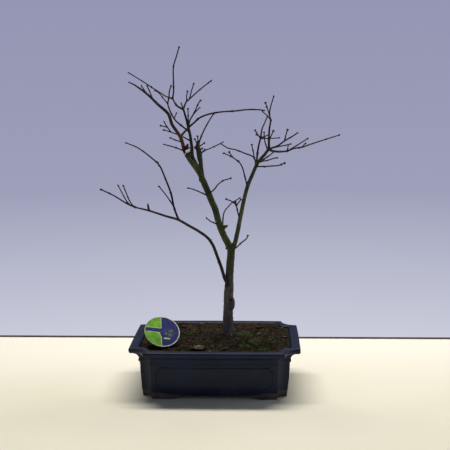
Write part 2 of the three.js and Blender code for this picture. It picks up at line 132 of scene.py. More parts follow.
# A material built from nodes. Colours are red, green and blue from 0 to 255, as srgb takes them.
class Surface:
    def __init__(self, name):
        self.material = bpy.data.materials.new(name)
        self.material.use_nodes = True
        self.nodes = self.material.node_tree.nodes
        self.link = self.material.node_tree.links.new
        self.shader = self.nodes["Principled BSDF"].inputs
        self.shader["Specular IOR Level"].default_value = 0.15  # most of these surfaces are dull

    def add(self, kind, **values):
        node = self.nodes.new(kind)
        for key, value in values.items():
            setattr(node, key, value)
        return node

    # sets sockets by name or number, each to a fixed value or another node's output
    def feed(self, node, values):
        for key, value in values.items():
            if hasattr(value, "links"):
                self.link(value, node.inputs[key])
            else:
                node.inputs[key].default_value = value

    def place(self):
        return self.add("ShaderNodeTexCoord").outputs["Object"]

    def split(self, vector):
        node = self.add("ShaderNodeSeparateXYZ")
        self.link(vector, node.inputs["Vector"])
        return node.outputs

    def along(self, axis):
        return self.split(self.place())[axis]

    def noise(self, scale, detail=3, roughness=0.55, stretch=(1, 1, 1), seed=0):
        mapping = self.add("ShaderNodeMapping")
        self.feed(mapping, {"Vector": self.place(), "Scale": stretch, "Location": (seed, seed, seed)})
        texture = self.add("ShaderNodeTexNoise")
        self.feed(texture, {"Vector": mapping.outputs["Vector"], "Scale": scale, "Detail": detail,
                            "Roughness": roughness})
        return texture.outputs["Fac"]

    def ramp(self, value, *stops):
        node = self.add("ShaderNodeValToRGB")
        fillRamp(node.color_ramp.elements, stops)
        self.link(value, node.inputs["Fac"])
        return node.outputs["Color"]

    def mix(self, factor, first, second):
        node = self.add("ShaderNodeMix", data_type="RGBA")
        self.feed(node, {0: factor, 6: first, 7: second})
        return node.outputs[2]

    def rescale(self, value, low, high, outLow=0, outHigh=1):
        node = self.add("ShaderNodeMapRange")
        self.feed(node, {"Value": value, "From Min": low, "From Max": high, "To Min": outLow,
                         "To Max": outHigh})
        return node.outputs["Result"]

    def attribute(self, name):
        return self.add("ShaderNodeAttribute", attribute_name=name).outputs["Fac"]

    def calc(self, operation, first, second=0):
        node = self.add("ShaderNodeMath", operation=operation)
        self.feed(node, {0: first, 1: second})
        return node.outputs["Value"]

    def minus(self, first, second):
        return self.calc("SUBTRACT", first, second)

    def times(self, first, second):
        return self.calc("MULTIPLY", first, second)

    # the piece's own flat map, in units over the given width
    def flatMap(self, name, width):
        split = self.split(self.add("ShaderNodeUVMap", uv_map=name).outputs["UV"])
        return [self.rescale(split[axis], 0, 1, -width / 2, width / 2) for axis in (0, 1)]

    # the last step: base colour, roughness and, where they are given, the values of a bump
    def finish(self, colour, roughness, height=None, strength=0, distance=0):
        self.link(colour, self.shader["Base Color"])
        if hasattr(roughness, "links"):
            self.link(roughness, self.shader["Roughness"])
        else:
            self.shader["Roughness"].default_value = roughness
        if height is not None:
            bump = self.add("ShaderNodeBump")
            self.feed(bump, {"Height": height, "Strength": strength, "Distance": distance})
            self.link(bump.outputs["Normal"], self.shader["Normal"])
        return self.material


camera = {"place": (62, -1261, 448), "lens": 67.8, "sensor": 36, "down": 9.05, "turn": 2.16, "roll": -0.34}


def turned(degrees, axis, size=4):
    return Matrix.Rotation(math.radians(degrees), size, axis)


def makeCamera():
    data = bpy.data.cameras.new("camera")
    data.lens = camera["lens"]
    data.sensor_width = camera["sensor"]
    obj = newObject("camera", data)
    aim = turned(camera["turn"], "Z") @ turned(90 - camera["down"], "X") @ turned(camera["roll"], "Z")
    obj.matrix_world = Matrix.Translation(at(*camera["place"])) @ aim
    scene.camera = obj


makeCamera()
print("camera placed")

# In metres: the table top, a dark strip of painted shadow along its far edge, the plain surroundings and the
# lamps
stage = {
    # the last two keys give the span over which the table top is painted paler towards the back, as painted
    # light
    "tableBack": 0.235, "tableReach": 3.0, "shadowStripDepth": 0.012, "paintedLightFrom": -0.05, "paintedLightTo": 0.16,
    # height of the line of sight, then the colour: paler low down, and dark overhead by the lamps
    "surroundings": ((0, 211, 213, 226), (0.32, 158, 160, 186), (0.72, 146, 148, 177), (1, 46, 51, 68)),
    "lowestSight": -0.32, "highestSight": 0.32,
}
# power, size, place, the point it is aimed at, and tint
lamps = {
    "key": (41, (1.9, 0.28), (0, 0.56, 1.75), (0, 0, 0.1), (1, 0.975, 0.92)),
    "fill": (2.6, (1.6, 1.6), (-1.2, -1.5, 1.3), (0, 0, 0.2), (0.94, 0.98, 1.05)),
    "side": (3.5, (0.8, 0.8), (1.6, 0.2, 0.6), (0, 0, 0.1), (0.94, 0.98, 1.05)),
}


def tableMaterial():
    kit = Surface("table_top")
    near = kit.ramp(kit.noise(3, 3, 0.5), (0.35, 236, 231, 207), (0.65, 242, 237, 217))
    # painted light: the top is painted paler towards the back, where it looks brighter under the lamps
    back = kit.rescale(kit.along("Y"), stage["paintedLightFrom"], stage["paintedLightTo"])
    return kit.finish(kit.mix(back, near, srgb(247, 243, 228)), 0.6)


def edgeShadowMaterial():
    # painted shadow: a dark strip standing for the shade along the table's far edge
    kit = Surface("table_edge_shadow")
    return kit.finish(kit.ramp(kit.noise(20, 3, 0.5), (0.3, 58, 46, 42), (0.7, 84, 68, 60)), 0.9)


# A level strip across the whole view, from one Y to another
def makeStrip(name, front, back, material):
    bm = bmesh.new()
    bmesh.ops.create_grid(bm, x_segments=1, y_segments=1, size=1)
    bmesh.ops.scale(bm, vec=(stage["tableReach"], (back - front) / 2, 1), verts=bm.verts)
    bmesh.ops.translate(bm, vec=(0, (back + front) / 2, 0), verts=bm.verts)
    fromBmesh(name, bm, material, smooth=False)


def makeSurroundings():
    world = bpy.data.worlds.new("studio")
    world.use_nodes = True
    scene.world = world
    nodes, links = world.node_tree.nodes, world.node_tree.links
    direction = nodes.new("ShaderNodeTexCoord")
    split = nodes.new("ShaderNodeSeparateXYZ")
    ramp = nodes.new("ShaderNodeValToRGB")
    spread = nodes.new("ShaderNodeMapRange")
    spread.inputs["From Min"].default_value = stage["lowestSight"]
    spread.inputs["From Max"].default_value = stage["highestSight"]
    fillRamp(ramp.color_ramp.elements, stage["surroundings"])
    links.new(direction.outputs["Generated"], split.inputs["Vector"])
    links.new(split.outputs["Z"], spread.inputs["Value"])
    links.new(spread.outputs["Result"], ramp.inputs["Fac"])
    links.new(ramp.outputs["Color"], nodes["Background"].inputs["Color"])
    nodes["Background"].inputs["Strength"].default_value = 1


def makeLamp(name, power, size, place, target, tint):
    data = bpy.data.lights.new(name, "AREA")
    data.energy = power
    data.shape = "RECTANGLE"
    data.size, data.size_y = size
    data.color = tint
    aim = (Vector(target) - Vector(place)).to_track_quat("-Z", "Y")
    newObject(name, data).matrix_world = Matrix.Translation(place) @ aim.to_matrix().to_4x4()


scene.view_settings.view_transform = "Standard"
makeStrip("table_top", -stage["tableReach"], stage["tableBack"], tableMaterial())
# the dark strip of painted shadow along the table's far edge
makeStrip("table_edge_shadow", stage["tableBack"], stage["tableBack"] + stage["shadowStripDepth"], edgeShadowMaterial())
makeSurroundings()
for name, lamp in lamps.items():
    makeLamp(name, *lamp)
print("table, surroundings and lamps made")


pot = {
    "halfLength": 127, "halfWidth": 90, "longBow": 1.5, "shortBow": 0.5,
    "arcSteps": 12, "longSteps": 32, "shortSteps": 20,
    "footSpanLong": 70, "footSpanShort": 42, "shoulderLong": 28, "shoulderShort": 22, "footHeight": 6,
    "floor": 14, "holeRadius": 9, "holeOffset": 52,
    # each wall's slope, as inset along, inset across and height at its foot and its top
    "wallFoot": (18.4, 12.2, 11), "wallTop": (15.9, 10.5, 51), "cornerPost": 17,
    "frameRadius": 1.6, "frameSunk": 0.8, "frameLow": 16, "frameHigh": 48, "frameCorner": 6, "frameStep": 4,
    "longFrameMargin": 41, "shortFrameMargin": 35, "edgeRounding": 0.9, "sharpAngle": 38,
}


# Points round a bowed rectangle with scooped corners, anticlockwise, in millimetres
def potOutline(insetLength, insetWidth, notch):
    a = pot["halfLength"] - insetLength - pot["shortBow"]
    b = pot["halfWidth"] - insetWidth - pot["longBow"]
    points = []

    def side(start, end, bow, steps):
        for i in range(steps):
            t = i / steps
            x = start[0] + (end[0] - start[0]) * t
            y = start[1] + (end[1] - start[1]) * t
            swell = 4 * t * (1 - t)
            points.append((x + bow[0] * swell, y + bow[1] * swell))

    def scoop(x, y, firstAngle):
        for i in range(pot["arcSteps"]):
            angle = math.radians(firstAngle - 90 * i / pot["arcSteps"])
            points.append((x + notch * math.cos(angle), y + notch * math.sin(angle)))

    side((notch - a, -b), (a - notch, -b), (0, -pot["longBow"]), pot["longSteps"])
    scoop(a, -b, 180)
    side((a, notch - b), (a, b - notch), (pot["shortBow"], 0), pot["shortSteps"])
    scoop(a, b, 270)
    side((a - notch, b), (notch - a, b), (0, pot["longBow"]), pot["longSteps"])
    scoop(-a, b, 0)
    side((-a, b - notch), (-a, notch - b), (-pot["shortBow"], 0), pot["shortSteps"])
    scoop(-a, -b, 90)
    return points


# Height of the pot's lower edge: level at the feet, with an ogee rise to the arch between them
def footEdge(x, y):
    def rise(distance, span, shoulder):
        t = min(max((span - abs(distance)) / shoulder, 0), 1)
        return pot["footHeight"] * t * t * (3 - 2 * t)
    onLongSide = abs(x) < pot["footSpanLong"] and abs(y) > pot["footSpanShort"]
    if onLongSide:
        return rise(x, pot["footSpanLong"], pot["shoulderLong"])
    return rise(y, pot["footSpanShort"], pot["shoulderShort"]) if abs(x) > pot["footSpanLong"] else 0


# One ring of edges round the pot, at a height or, under the feet, on the pot's lower edge
def addRing(bm, insetLength, insetWidth, notch, z, followFeet=False):
    verts = []
    for x, y in potOutline(insetLength, insetWidth, notch):
        lift = footEdge(x, y) if followFeet else 0
        verts.append(bm.verts.new(at(x, y, z + lift)))
    return [bm.edges.new((v, verts[i - 1])) for i, v in enumerate(verts)]


def addHole(bm, x, z):
    place = Matrix.Translation(at(x, 0, z))
    circle = bmesh.ops.create_circle(bm, segments=32, radius=pot["holeRadius"] * mm, matrix=place)
    return list({edge for v in circle["verts"] for edge in v.link_edges})


# Inset along, inset across, scoop radius and height: under the feet, up the outside, over the lip
# and down the inside
footLevels = [(31, 25, 9, 0.6), (30.4, 24.4, 9.3, 0), (20.4, 13.9, 14.8, 0), (19.8, 13.3, 15, 0.6)]
wallLevels = [(19, 12.8, 15, 9.5), (18.4, 12.2, 15.6, 11), (17.9, 11.8, 16.3, 20), (17.4, 11.4, 16.8, 32),
              (16.6, 10.9, 17.4, 43), (15.9, 10.5, 17.9, 51), (15.3, 10.2, 18.2, 52.6),
              (14.2, 9.5, 18.8, 53.2), (13.8, 9.2, 19, 54.2), (13.8, 9.2, 19, 56),
              (14.4, 9.6, 18.8, 57.2)]
lipLevels = [(2, 1.6, 23.1, 66), (0.7, 0.6, 23.6, 66.9), (0, 0, 24, 68.4), (0, 0, 24, 71.6),
             (0.3, 0.3, 23.9, 72.8), (1.1, 1.1, 23.5, 73.6), (2.4, 2.4, 23, 74), (6.5, 6.5, 21.4, 74),
             (10.6, 10.6, 19.6, 73.9), (12.2, 12.2, 19.1, 73.3), (13.2, 13.2, 18.7, 72),
             (13.8, 13.8, 18.5, 70)]
insideLevels = [(16, 15, 17.6, 58), (18, 16.4, 17, 45), (20.5, 18, 15.8, 28), (23, 20, 15, 18),
                (26, 22, 14, 14)]


# The hollow moulding under the lip, a quarter round from the top of the wall
def hollowLevels(steps=8):
    levels = []
    for i in range(1, steps + 1):
        angle = math.radians(90 * i / steps)
        out = 1 - math.cos(angle)
        levels.append((14.4 - 11 * out, 9.6 - 7 * out, 18.8 + 4 * out, 57.2 + 8.6 * math.sin(angle)))
    return levels


# A point on a side's wall, sunk in so that only the front of the frame stands out
def wallPoint(side, along, z):
    (footAlong, footAcross, footZ), (topAlong, topAcross, topZ) = pot["wallFoot"], pot["wallTop"]
    t = (z - footZ) / (topZ - footZ)
    insetLength = footAlong + (topAlong - footAlong) * t - pot["shortBow"] * 0.2
    insetWidth = footAcross + (topAcross - footAcross) * t
    if side in ("front", "back"):
        reach = pot["halfLength"] - insetLength - pot["cornerPost"]
        out = pot["halfWidth"] - insetWidth - pot["frameSunk"] - pot["longBow"] * (along / reach) ** 2
        return (along, -out, z) if side == "front" else (along, out, z)
    reach = pot["halfWidth"] - insetWidth - pot["cornerPost"]
    out = pot["halfLength"] - insetLength - pot["frameSunk"] - pot["shortBow"] * (along / reach) ** 2
    return (out, along, z) if side == "right" else (-out, along, z)


# The frame round a side's panel, with each corner notched inwards
def panelFrame(side):
    reach = pot["halfWidth"] - pot["shortFrameMargin"]
    if side in ("front", "back"):
        reach = pot["halfLength"] - pot["longFrameMargin"]
    low, high, corner, steps = pot["frameLow"], pot["frameHigh"], pot["frameCorner"], 8
    corners = []
    for x, z, first in ((reach, low, 180), (reach, high, 270), (-reach, high, 0), (-reach, low, 90)):
        for i in range(steps + 1):
            angle = math.radians(first - 90 * i / steps)
            corners.append((x + corner * math.cos(angle), z + corner * math.sin(angle)))
    path = []
    for (x, z), (nextX, nextZ) in zip(corners, corners[1:] + corners[:1]):
        count = max(1, round(math.hypot(nextX - x, nextZ - z) / pot["frameStep"]))
        for k in range(count):
            spot = wallPoint(side, x + (nextX - x) * k / count, z + (nextZ - z) * k / count)
            path.append((spot, pot["frameRadius"]))
    return path


def makePot():
    bm = bmesh.new()
    undersideHeight = pot["footHeight"] + 0.3
    underside = addRing(bm, *footLevels[0][:3], undersideHeight)
    rings = [underside]
    rings += [addRing(bm, *level, followFeet=True) for level in footLevels]
    rings += [addRing(bm, *level) for level in wallLevels + hollowLevels() + lipLevels + insideLevels]
    holePlaces = (-pot["holeOffset"], pot["holeOffset"])
    holesBelow = [addHole(bm, x, undersideHeight) for x in holePlaces]
    holesAbove = [addHole(bm, x, pot["floor"]) for x in holePlaces]
    for lower, upper in [*zip(rings, rings[1:]), *zip(holesBelow, holesAbove)]:
        bmesh.ops.bridge_loops(bm, edges=lower + upper)
    bmesh.ops.triangle_fill(bm, use_beauty=True, edges=underside + holesBelow[0] + holesBelow[1])
    bmesh.ops.triangle_fill(bm, use_beauty=True, edges=rings[-1] + holesAbove[0] + holesAbove[1])
    outwards(bm)
    frames = [panelFrame(side) for side in ("front", "back", "left", "right")]
    bm.from_mesh(tubesAlong(frames, 3, closed=True))
    body = fromBmesh("pot_body", bm, glazeMaterial())
    rounding = body.modifiers.new("edges", "BEVEL")
    rounding.width = pot["edgeRounding"] * mm
    rounding.segments = 3
    rounding.limit_method = "ANGLE"
    rounding.angle_limit = math.radians(pot["sharpAngle"])
    standsFor(applyModifiers(body), "glazed_pot", "pot")


def glazeMaterial():
    kit = Surface("glaze")
    pool = kit.noise(22, 5, 0.6)
    speck = kit.noise(260, 3, 0.5)
    tone = kit.ramp(pool, (0.3, 14, 20, 38), (0.5, 20, 28, 51), (0.72, 29, 38, 63))
    tone = kit.mix(kit.rescale(speck, 0.6, 0.75, 0, 0.6), tone, srgb(38, 38, 46))
    streaks = kit.noise(30, 4, 0.6, (1, 1, 0.25), 4)
    rust = kit.rescale(streaks, 0.6, 0.8, 0, 0.35)
    tone = kit.mix(rust, tone, srgb(44, 32, 30))
    clay = kit.ramp(kit.noise(90, 5, 0.6), (0.3, 56, 51, 52), (0.7, 92, 79, 74))
    # the glaze stops short of the feet, and runs down to the arch between them
    wave = kit.times(kit.noise(35, 2, 0.5), 0.004)
    fromMiddle = kit.calc("ABSOLUTE", kit.minus(kit.along("X"), potMiddle.x))
    atFeet = kit.rescale(fromMiddle, 0.058, 0.078, -0.0035, 0.0005)
    glazed = kit.rescale(kit.minus(kit.minus(kit.along("Z"), wave), atFeet), 0.0068, 0.0082)
    gloss = kit.rescale(pool, 0.3, 0.7, 0.38, 0.52)
    roughness = kit.calc("MAXIMUM", kit.rescale(glazed, 0, 1, 0.85, 0), gloss)
    kit.shader["Specular IOR Level"].default_value = 0.22
    return kit.finish(kit.mix(glazed, clay, tone), roughness, kit.noise(140, 4, 0.6), 0.25, 0.0006)


makePot()
print("pot made")


soil = {
    "level": 68.5, "slope": 0.04, "bank": 1.5, "cells": 150, "crumbNoise": 1.1,
    # the mound round the trunk
    "moundHeight": 7, "moundX": 18, "moundY": 8, "moundLength": 48, "moundWidth": 38,
    "crumbs": 1500, "smallest": 0.45, "largest": 1.5, "lumps": 320, "largestLump": 2.8, "litter": 260,
    "wallInset": 14.4, "wallScoop": 18.4, "wallSteps": 720,
    # the sides going down: inset along, inset across, scoop radius and height
    "sideLevels": ((18.5, 16.5, 17, 45), (23, 19.5, 15, 18.5), (26.4, 22.4, 14, 14.4)),
    # how far out loose bits lie, along and across, and the edge that holds them in
    "crumbReach": (112, 76), "litterReach": (110, 74), "edgeInset": 14, "scoopMiddle": (14.9, 15.9),
    "scoopRadius": 18.5,
}


# Height of the soil's surface, the same broad shape as the CAD solid's top
def soilHeight(x, y):
    alongMound = (x - soil["moundX"]) / soil["moundLength"]
    acrossMound = (y - soil["moundY"]) / soil["moundWidth"]
    mound = soil["moundHeight"] * math.exp(-alongMound ** 2 - acrossMound ** 2)
    dips = 0.9 * math.sin(x / 11 + 1) * math.cos(y / 9) + 0.5 * math.sin(x / 5 - y / 6)
    bank = soil["bank"] * min(max((y - 45) / 25, 0), 1)  # heaped a little against the back wall
    return soil["level"] + soil["slope"] * y + mound + dips + bank


# The same height with the small lumps of the compost on it
def soilSurface(x, y):
    place = Vector((x, y, 0))
    lumps = noise.fractal(place / 7, 0.7, 2.2, 4) + 0.6 * abs(noise.noise(place / 2.3))
    return soilHeight(x, y) + soil["crumbNoise"] * lumps


# Where a point of the square -1..1 falls inside the pot, with the square's edge on the pot's wall
def insidePot(u, v, wall):
    reach = max(abs(u), abs(v))
    if reach == 0:
        return 0, 0
    angle = math.atan2(v, u)
    place = (angle / (2 * math.pi)) % 1 * len(wall)
    first = int(place) % len(wall)
    part = place - int(place)
    (startX, startY), (endX, endY) = wall[first], wall[(first + 1) % len(wall)]
    return (startX * (1 - part) + endX * part) * reach, (startY * (1 - part) + endY * part) * reach


# The wall's outline resampled so that equal turns of the square's edge land on it in order
def wallByTurn(insetLength, insetWidth, notch):
    outline = potOutline(insetLength, insetWidth, notch)
    a = pot["halfLength"] - insetLength
    b = pot["halfWidth"] - insetWidth
    turns = sorted((math.atan2(y / b, x / a) % (2 * math.pi), x, y) for x, y in outline)
    samples = []
    for i in range(soil["wallSteps"]):
        angle = 2 * math.pi * i / soil["wallSteps"]
        after = next((k for k, turn in enumerate(turns) if turn[0] > angle), 0)
        start, end = turns[after - 1], turns[after]
        span = (end[0] - start[0]) % (2 * math.pi)
        part = ((angle - start[0]) % (2 * math.pi)) / span
        samples.append((start[1] + (end[1] - start[1]) * part, start[2] + (end[2] - start[2]) * part))
    return samples


# A rough sheet out to the pot's wall, closed by sides that narrow to the pot's floor
def makeSoil():
    wall = wallByTurn(soil["wallInset"], soil["wallInset"], soil["wallScoop"])
    bm = bmesh.new()
    bmesh.ops.create_grid(bm, x_segments=soil["cells"], y_segments=soil["cells"], size=1)
    for v in bm.verts:
        x, y = insidePot(v.co.x, v.co.y, wall)
        v.co = at(x, y, soilSurface(x, y))
    edge = [e for e in bm.edges if e.is_boundary]
    for *level, height in soil["sideLevels"]:
        lower = wallByTurn(*level)
        grown = bmesh.ops.extrude_edge_only(bm, edges=edge)["geom"]
        verts = [g for g in grown if isinstance(g, bmesh.types.BMVert)]
        for v in verts:
            local = (v.co - potMiddle) / mm
            across, along = pot["halfWidth"] - soil["wallInset"], pot["halfLength"] - soil["wallInset"]
            turn = math.atan2(local.y / across, local.x / along)
            x, y = insidePot(math.cos(turn), math.sin(turn), lower)
            reach = max(abs(math.cos(turn)), abs(math.sin(turn)))
            v.co = at(x / reach, y / reach, height)
        edge = [g for g in grown if isinstance(g, bmesh.types.BMEdge) and g.is_boundary]
    bmesh.ops.contextual_create(bm, geom=edge)
    outwards(bm)
    standsFor(fromBmesh("soil_body", bm, soilMaterial()), "soil", "soil")


def soilMaterial():
    kit = Surface("compost")
    patches = kit.noise(38, 5, 0.65)
    grains = kit.noise(420, 5, 0.7)
    damp = kit.ramp(patches, (0.35, 19, 15, 11), (0.5, 31, 24, 17), (0.6, 54, 35, 24), (0.72, 36, 28, 19))
    clods = kit.noise(140, 4, 0.6, (1, 1, 1), 5)
    damp = kit.mix(kit.rescale(clods, 0.47, 0.38), damp, srgb(11, 9, 7))
    tone = kit.mix(kit.rescale(grains, 0.52, 0.68, 0, 0.8), damp, srgb(64, 46, 33))
    algae = kit.rescale(kit.noise(24, 4, 0.6, (1, 1, 1), 7), 0.52, 0.66, 0, 0.6)
    return kit.finish(kit.mix(algae, tone, srgb(34, 38, 18)), 0.95, grains, 0.9, 0.0012)


# Whether a place is on the soil, a margin away from the pot's wall and with its scooped corners
def insideWall(x, y, margin):
    fromEnd, fromSide = pot["halfLength"] - abs(x), pot["halfWidth"] - abs(y)
    if min(fromEnd, fromSide) < soil["edgeInset"] + margin:
        return False
    scoopX, scoopY = soil["scoopMiddle"]
    return math.hypot(scoopX - fromEnd, scoopY - fromSide) > soil["scoopRadius"] + margin


def scattered(rng, along, across):
    return rng.uniform(-along, along), rng.uniform(-across, across)


def nearTrunk(x, y, reach):
    return math.hypot(x - soil["moundX"], y - soil["moundY"]) < reach


# Adds a moved copy of a small mesh, with a tint from 0 to 1 that the material reads
def addCopy(bm, shape, place, tint):
    copy = shape.copy()
    copy.transform(place)
    shades = copy.attributes.new("tint", "FLOAT", "POINT")
    shades.data.foreach_set("value", [tint] * len(copy.vertices))
    bm.from_mesh(copy)
    bpy.data.meshes.remove(copy)


def meshOf(bm):
    mesh = bpy.data.meshes.new("shape")
    bm.to_mesh(mesh)
    bm.free()
    return mesh


# Loose crumbs of compost on the surface, with some larger lumps among them
def makeCrumbs():
    rng = random.Random(11)
    grain = bmesh.new()
    bmesh.ops.create_icosphere(grain, subdivisions=1, radius=mm)
    grain = meshOf(grain)
    bm = bmesh.new()
    for i in range(soil["crumbs"] + soil["lumps"]):
        x, y = scattered(rng, *soil["crumbReach"])
        largest = soil["largest"] if i < soil["crumbs"] else soil["largestLump"]
        size = rng.uniform(soil["smallest"], largest) * rng.uniform(0.6, 1)
        shape = (rng.uniform(0.8, 1.5), rng.uniform(0.7, 1.1), rng.uniform(0.5, 0.9))
        turn, tilt, shade = rng.uniform(0, 6.3), rng.uniform(-0.5, 0.5), rng.random()
        if not insideWall(x, y, 1.5) or nearTrunk(x, y, 9):
            continue
        move = Matrix.Translation(at(x, y, soilSurface(x, y) + size * 0.25))
        spin = Matrix.Rotation(turn, 4, "Z") @ Matrix.Rotation(tilt, 4, "X")
        addCopy(bm, grain, move @ spin @ Matrix.Diagonal((*[size * side for side in shape], 1)), shade)
    standsFor(fromBmesh("soil_crumbs", bm, crumbMaterial(), smooth=False), "soil")


def crumbMaterial():
    kit = Surface("compost_crumbs")
    shade = kit.attribute("tint")
    tone = kit.ramp(shade, (0, 12, 10, 8), (0.4, 28, 21, 15), (0.7, 56, 36, 25),
                    (0.93, 80, 58, 41), (1, 124, 108, 84))
    speck = kit.rescale(kit.noise(900, 3, 0.6), 0.45, 0.6, 0, 0.35)
    return kit.finish(kit.mix(speck, tone, srgb(22, 17, 13)), 0.93, kit.noise(1200, 3, 0.6), 0.5, 0.0004)


# Needles, root fibres and bits of husk lying on the compost
def makeLitter():
    rng = random.Random(23)
    fibre = bmesh.new()
    bmesh.ops.create_cone(fibre, cap_ends=True, segments=5, radius1=mm, radius2=mm / 2, depth=mm)
    fibre = meshOf(fibre)
    bm = bmesh.new()
    for _ in range(soil["litter"]):
        x, y = scattered(rng, *soil["litterReach"])
        length, width = rng.uniform(3, 11), rng.uniform(0.25, 0.6)
        turn, tilt, shade = rng.uniform(0, 6.3), rng.uniform(-0.18, 0.18), rng.random()
        if not insideWall(x, y, 6) or nearTrunk(x, y, 11):
            continue
        move = Matrix.Translation(at(x, y, soilSurface(x, y) + 0.5))
        lie = Matrix.Rotation(turn, 4, "Z") @ Matrix.Rotation(math.pi / 2 + tilt, 4, "Y")
        addCopy(bm, fibre, move @ lie @ Matrix.Diagonal((width, width, length, 1)), shade)
    standsFor(fromBmesh("soil_litter", bm, litterMaterial()), "soil")


def litterMaterial():
    kit = Surface("plant_litter")
    tone = kit.ramp(kit.attribute("tint"), (0, 44, 30, 21), (0.5, 74, 52, 34),
                    (0.85, 104, 80, 54), (1, 140, 122, 92))
    streak = kit.rescale(kit.noise(600, 3, 0.6), 0.4, 0.65, 0, 0.5)
    return kit.finish(kit.mix(streak, tone, srgb(44, 32, 24)), 0.85)


makeSoil()
makeCrumbs()
makeLitter()
print("soil made")


tree = {
    "pathStep": 2.5, "woodSides": 4, "twigSides": 2, "voxel": 0.55, "woodSmoothing": 3,
    "barkDepth": 0.075, "grainStretch": 0.3, "nodeGap": 26, "knuckle": 0.22, "collar": 0.7,
    "stout": 1.1, "budLength": 2.2, "budRadius": 0.62, "budSpread": 24,
    "tipBudLength": 3.4, "tipBudRadius": 1.05, "tipBudSpread": 9, "budlessTip": 6,
    "knuckleReach": 1.3, "collarReach": 2.2, "woundReach": 6.5,
    "roots": 7, "oldRadius": 3.2, "youngRadius": 1.5,
}

# Shoots by name: radii along the shoot in millimetres, then the points it passes through.
# Two radii are a plain taper from foot to tip.
wood = {
    "trunk": ((9.8, 9, 8.3, 7.9, 7.4, 7.1, 7.5, 7.1, 6.3, 6.1, 6, 5.8), [
        (18, 8, 61), (18, 8, 75.5), (17.6, 8, 87), (18, 8, 98), (18, 8.6, 112), (18.4, 9, 124),
        (19.1, 8, 139), (19.9, 8, 150), (20.3, 8, 160), (21.3, 7, 180), (23.1, 7, 202), (23.2, 6, 217)]),
    "leftLimb": ((5.4, 5.2, 5.1, 5.1, 5, 5, 5, 5, 4.9, 4.4), [
        (22, 6, 210), (17.6, 7, 219), (13, 8, 228), (9.3, 9, 236), (4.3, 10, 250), (-0.3, 12, 268),
        (-6.6, 15, 282), (-11.4, 17, 294), (-16.3, 18, 306), (-22, 19, 319)]),
    "rightLimb": ((4.2, 3.4, 3.4, 3.3, 3, 2.9, 2.8, 2.6, 2.5, 2.3, 2.1), [
        (25, 5, 209), (29.2, 3, 219), (33.4, 0, 237), (38, -4, 261), (43, -8, 285), (49, -12, 308),
        (56, -15, 325), (62, -18, 339), (68, -20, 348), (75, -22, 356), (80, -24, 364)]),
    "outerLeft": ((3.6, 3.3, 3.4, 3.5, 3.4, 3.1, 2.9, 2.8, 2.7, 2.5, 2.4, 2.4, 2.3, 2.1, 1.8, 1.2, 0.9), [
        (-19, 19, 313), (-27, 19, 326), (-32, 18, 334), (-38, 15, 343), (-42, 12, 350), (-45, 9, 356),
        (-47, 6, 362), (-48, 3, 369), (-51, 0, 379), (-56, -5, 388), (-62, -11, 398), (-64, -16, 406),
        (-67, -22, 415), (-80, -32, 428), (-92, -42, 441), (-109, -54, 455), (-118, -62, 460)]),
    "upperLeft": ((3.6, 3.4, 3.4, 3.4, 3.4, 3.1, 2.7, 2.4, 2.3, 2.2, 2, 1.8, 1.6, 1.5), [
        (-20, 19, 315), (-26, 20, 329), (-29, 20, 335), (-32, 21, 341), (-35, 22, 347), (-36, 23, 353),
        (-36, 24, 361), (-37, 25, 369), (-38, 26, 377), (-40, 26, 387), (-42, 27, 395), (-44, 28, 404),
        (-47, 29, 414), (-49, 30, 421)]),
    "innerLeft": ((3.6, 3.1, 3.5, 4.2, 4.4, 4, 3.3, 2.4, 1.8), [
        (-20, 20, 316), (-21.8, 22, 331), (-23, 24, 340), (-24.4, 27, 346), (-25.2, 30, 352),
        (-26.5, 33, 357), (-28, 36, 363), (-28, 38, 368), (-27, 40, 372)]),
    "lowBranch": ((2.8, 2.7, 2.5, 2.4, 2.3, 2.2, 2.1, 2, 1.9, 1.7, 1.5, 1.15), [
        (19, 8, 153), (14, 4, 162), (8.7, -3, 182), (1.9, -11, 204), (-3.7, -18, 220.5),
        (-10.8, -25, 232), (-22.3, -33, 242.4), (-39, -42, 254), (-52, -49, 262.7), (-69, -56, 269),
        (-92, -64, 278), (-112, -70, 284)]),
    "farBranch": ((2, 1.9, 1.8, 1.6, 1.3), [
        (80, -24, 362), (84, -19, 360), (91, -8, 358), (99, 3, 357), (108, 12, 357)]),
    "cutStub": ((3, 2.9, 2.6), [(-44, 9, 355), (-43, 5, 358), (-41.4, 2.4, 358)]),
    "rustyStub": ((2.8, 3.3, 2.5), [(-45, 8, 356), (-43.2, 6, 361.5), (-41.5, 6, 366)]),
}
# The height from which a limb's bark is red-brown, then the heights between which it is rusty
brownFrom = {"outerLeft": 350, "lowBranch": 0, "farBranch": 0}
rusty = {"outerLeft": (354, 390), "cutStub": (355, 400), "rustyStub": (355, 400), "outer6": (355, 400),
         "outer7": (355, 400), "innerLeft": (355, 367)}

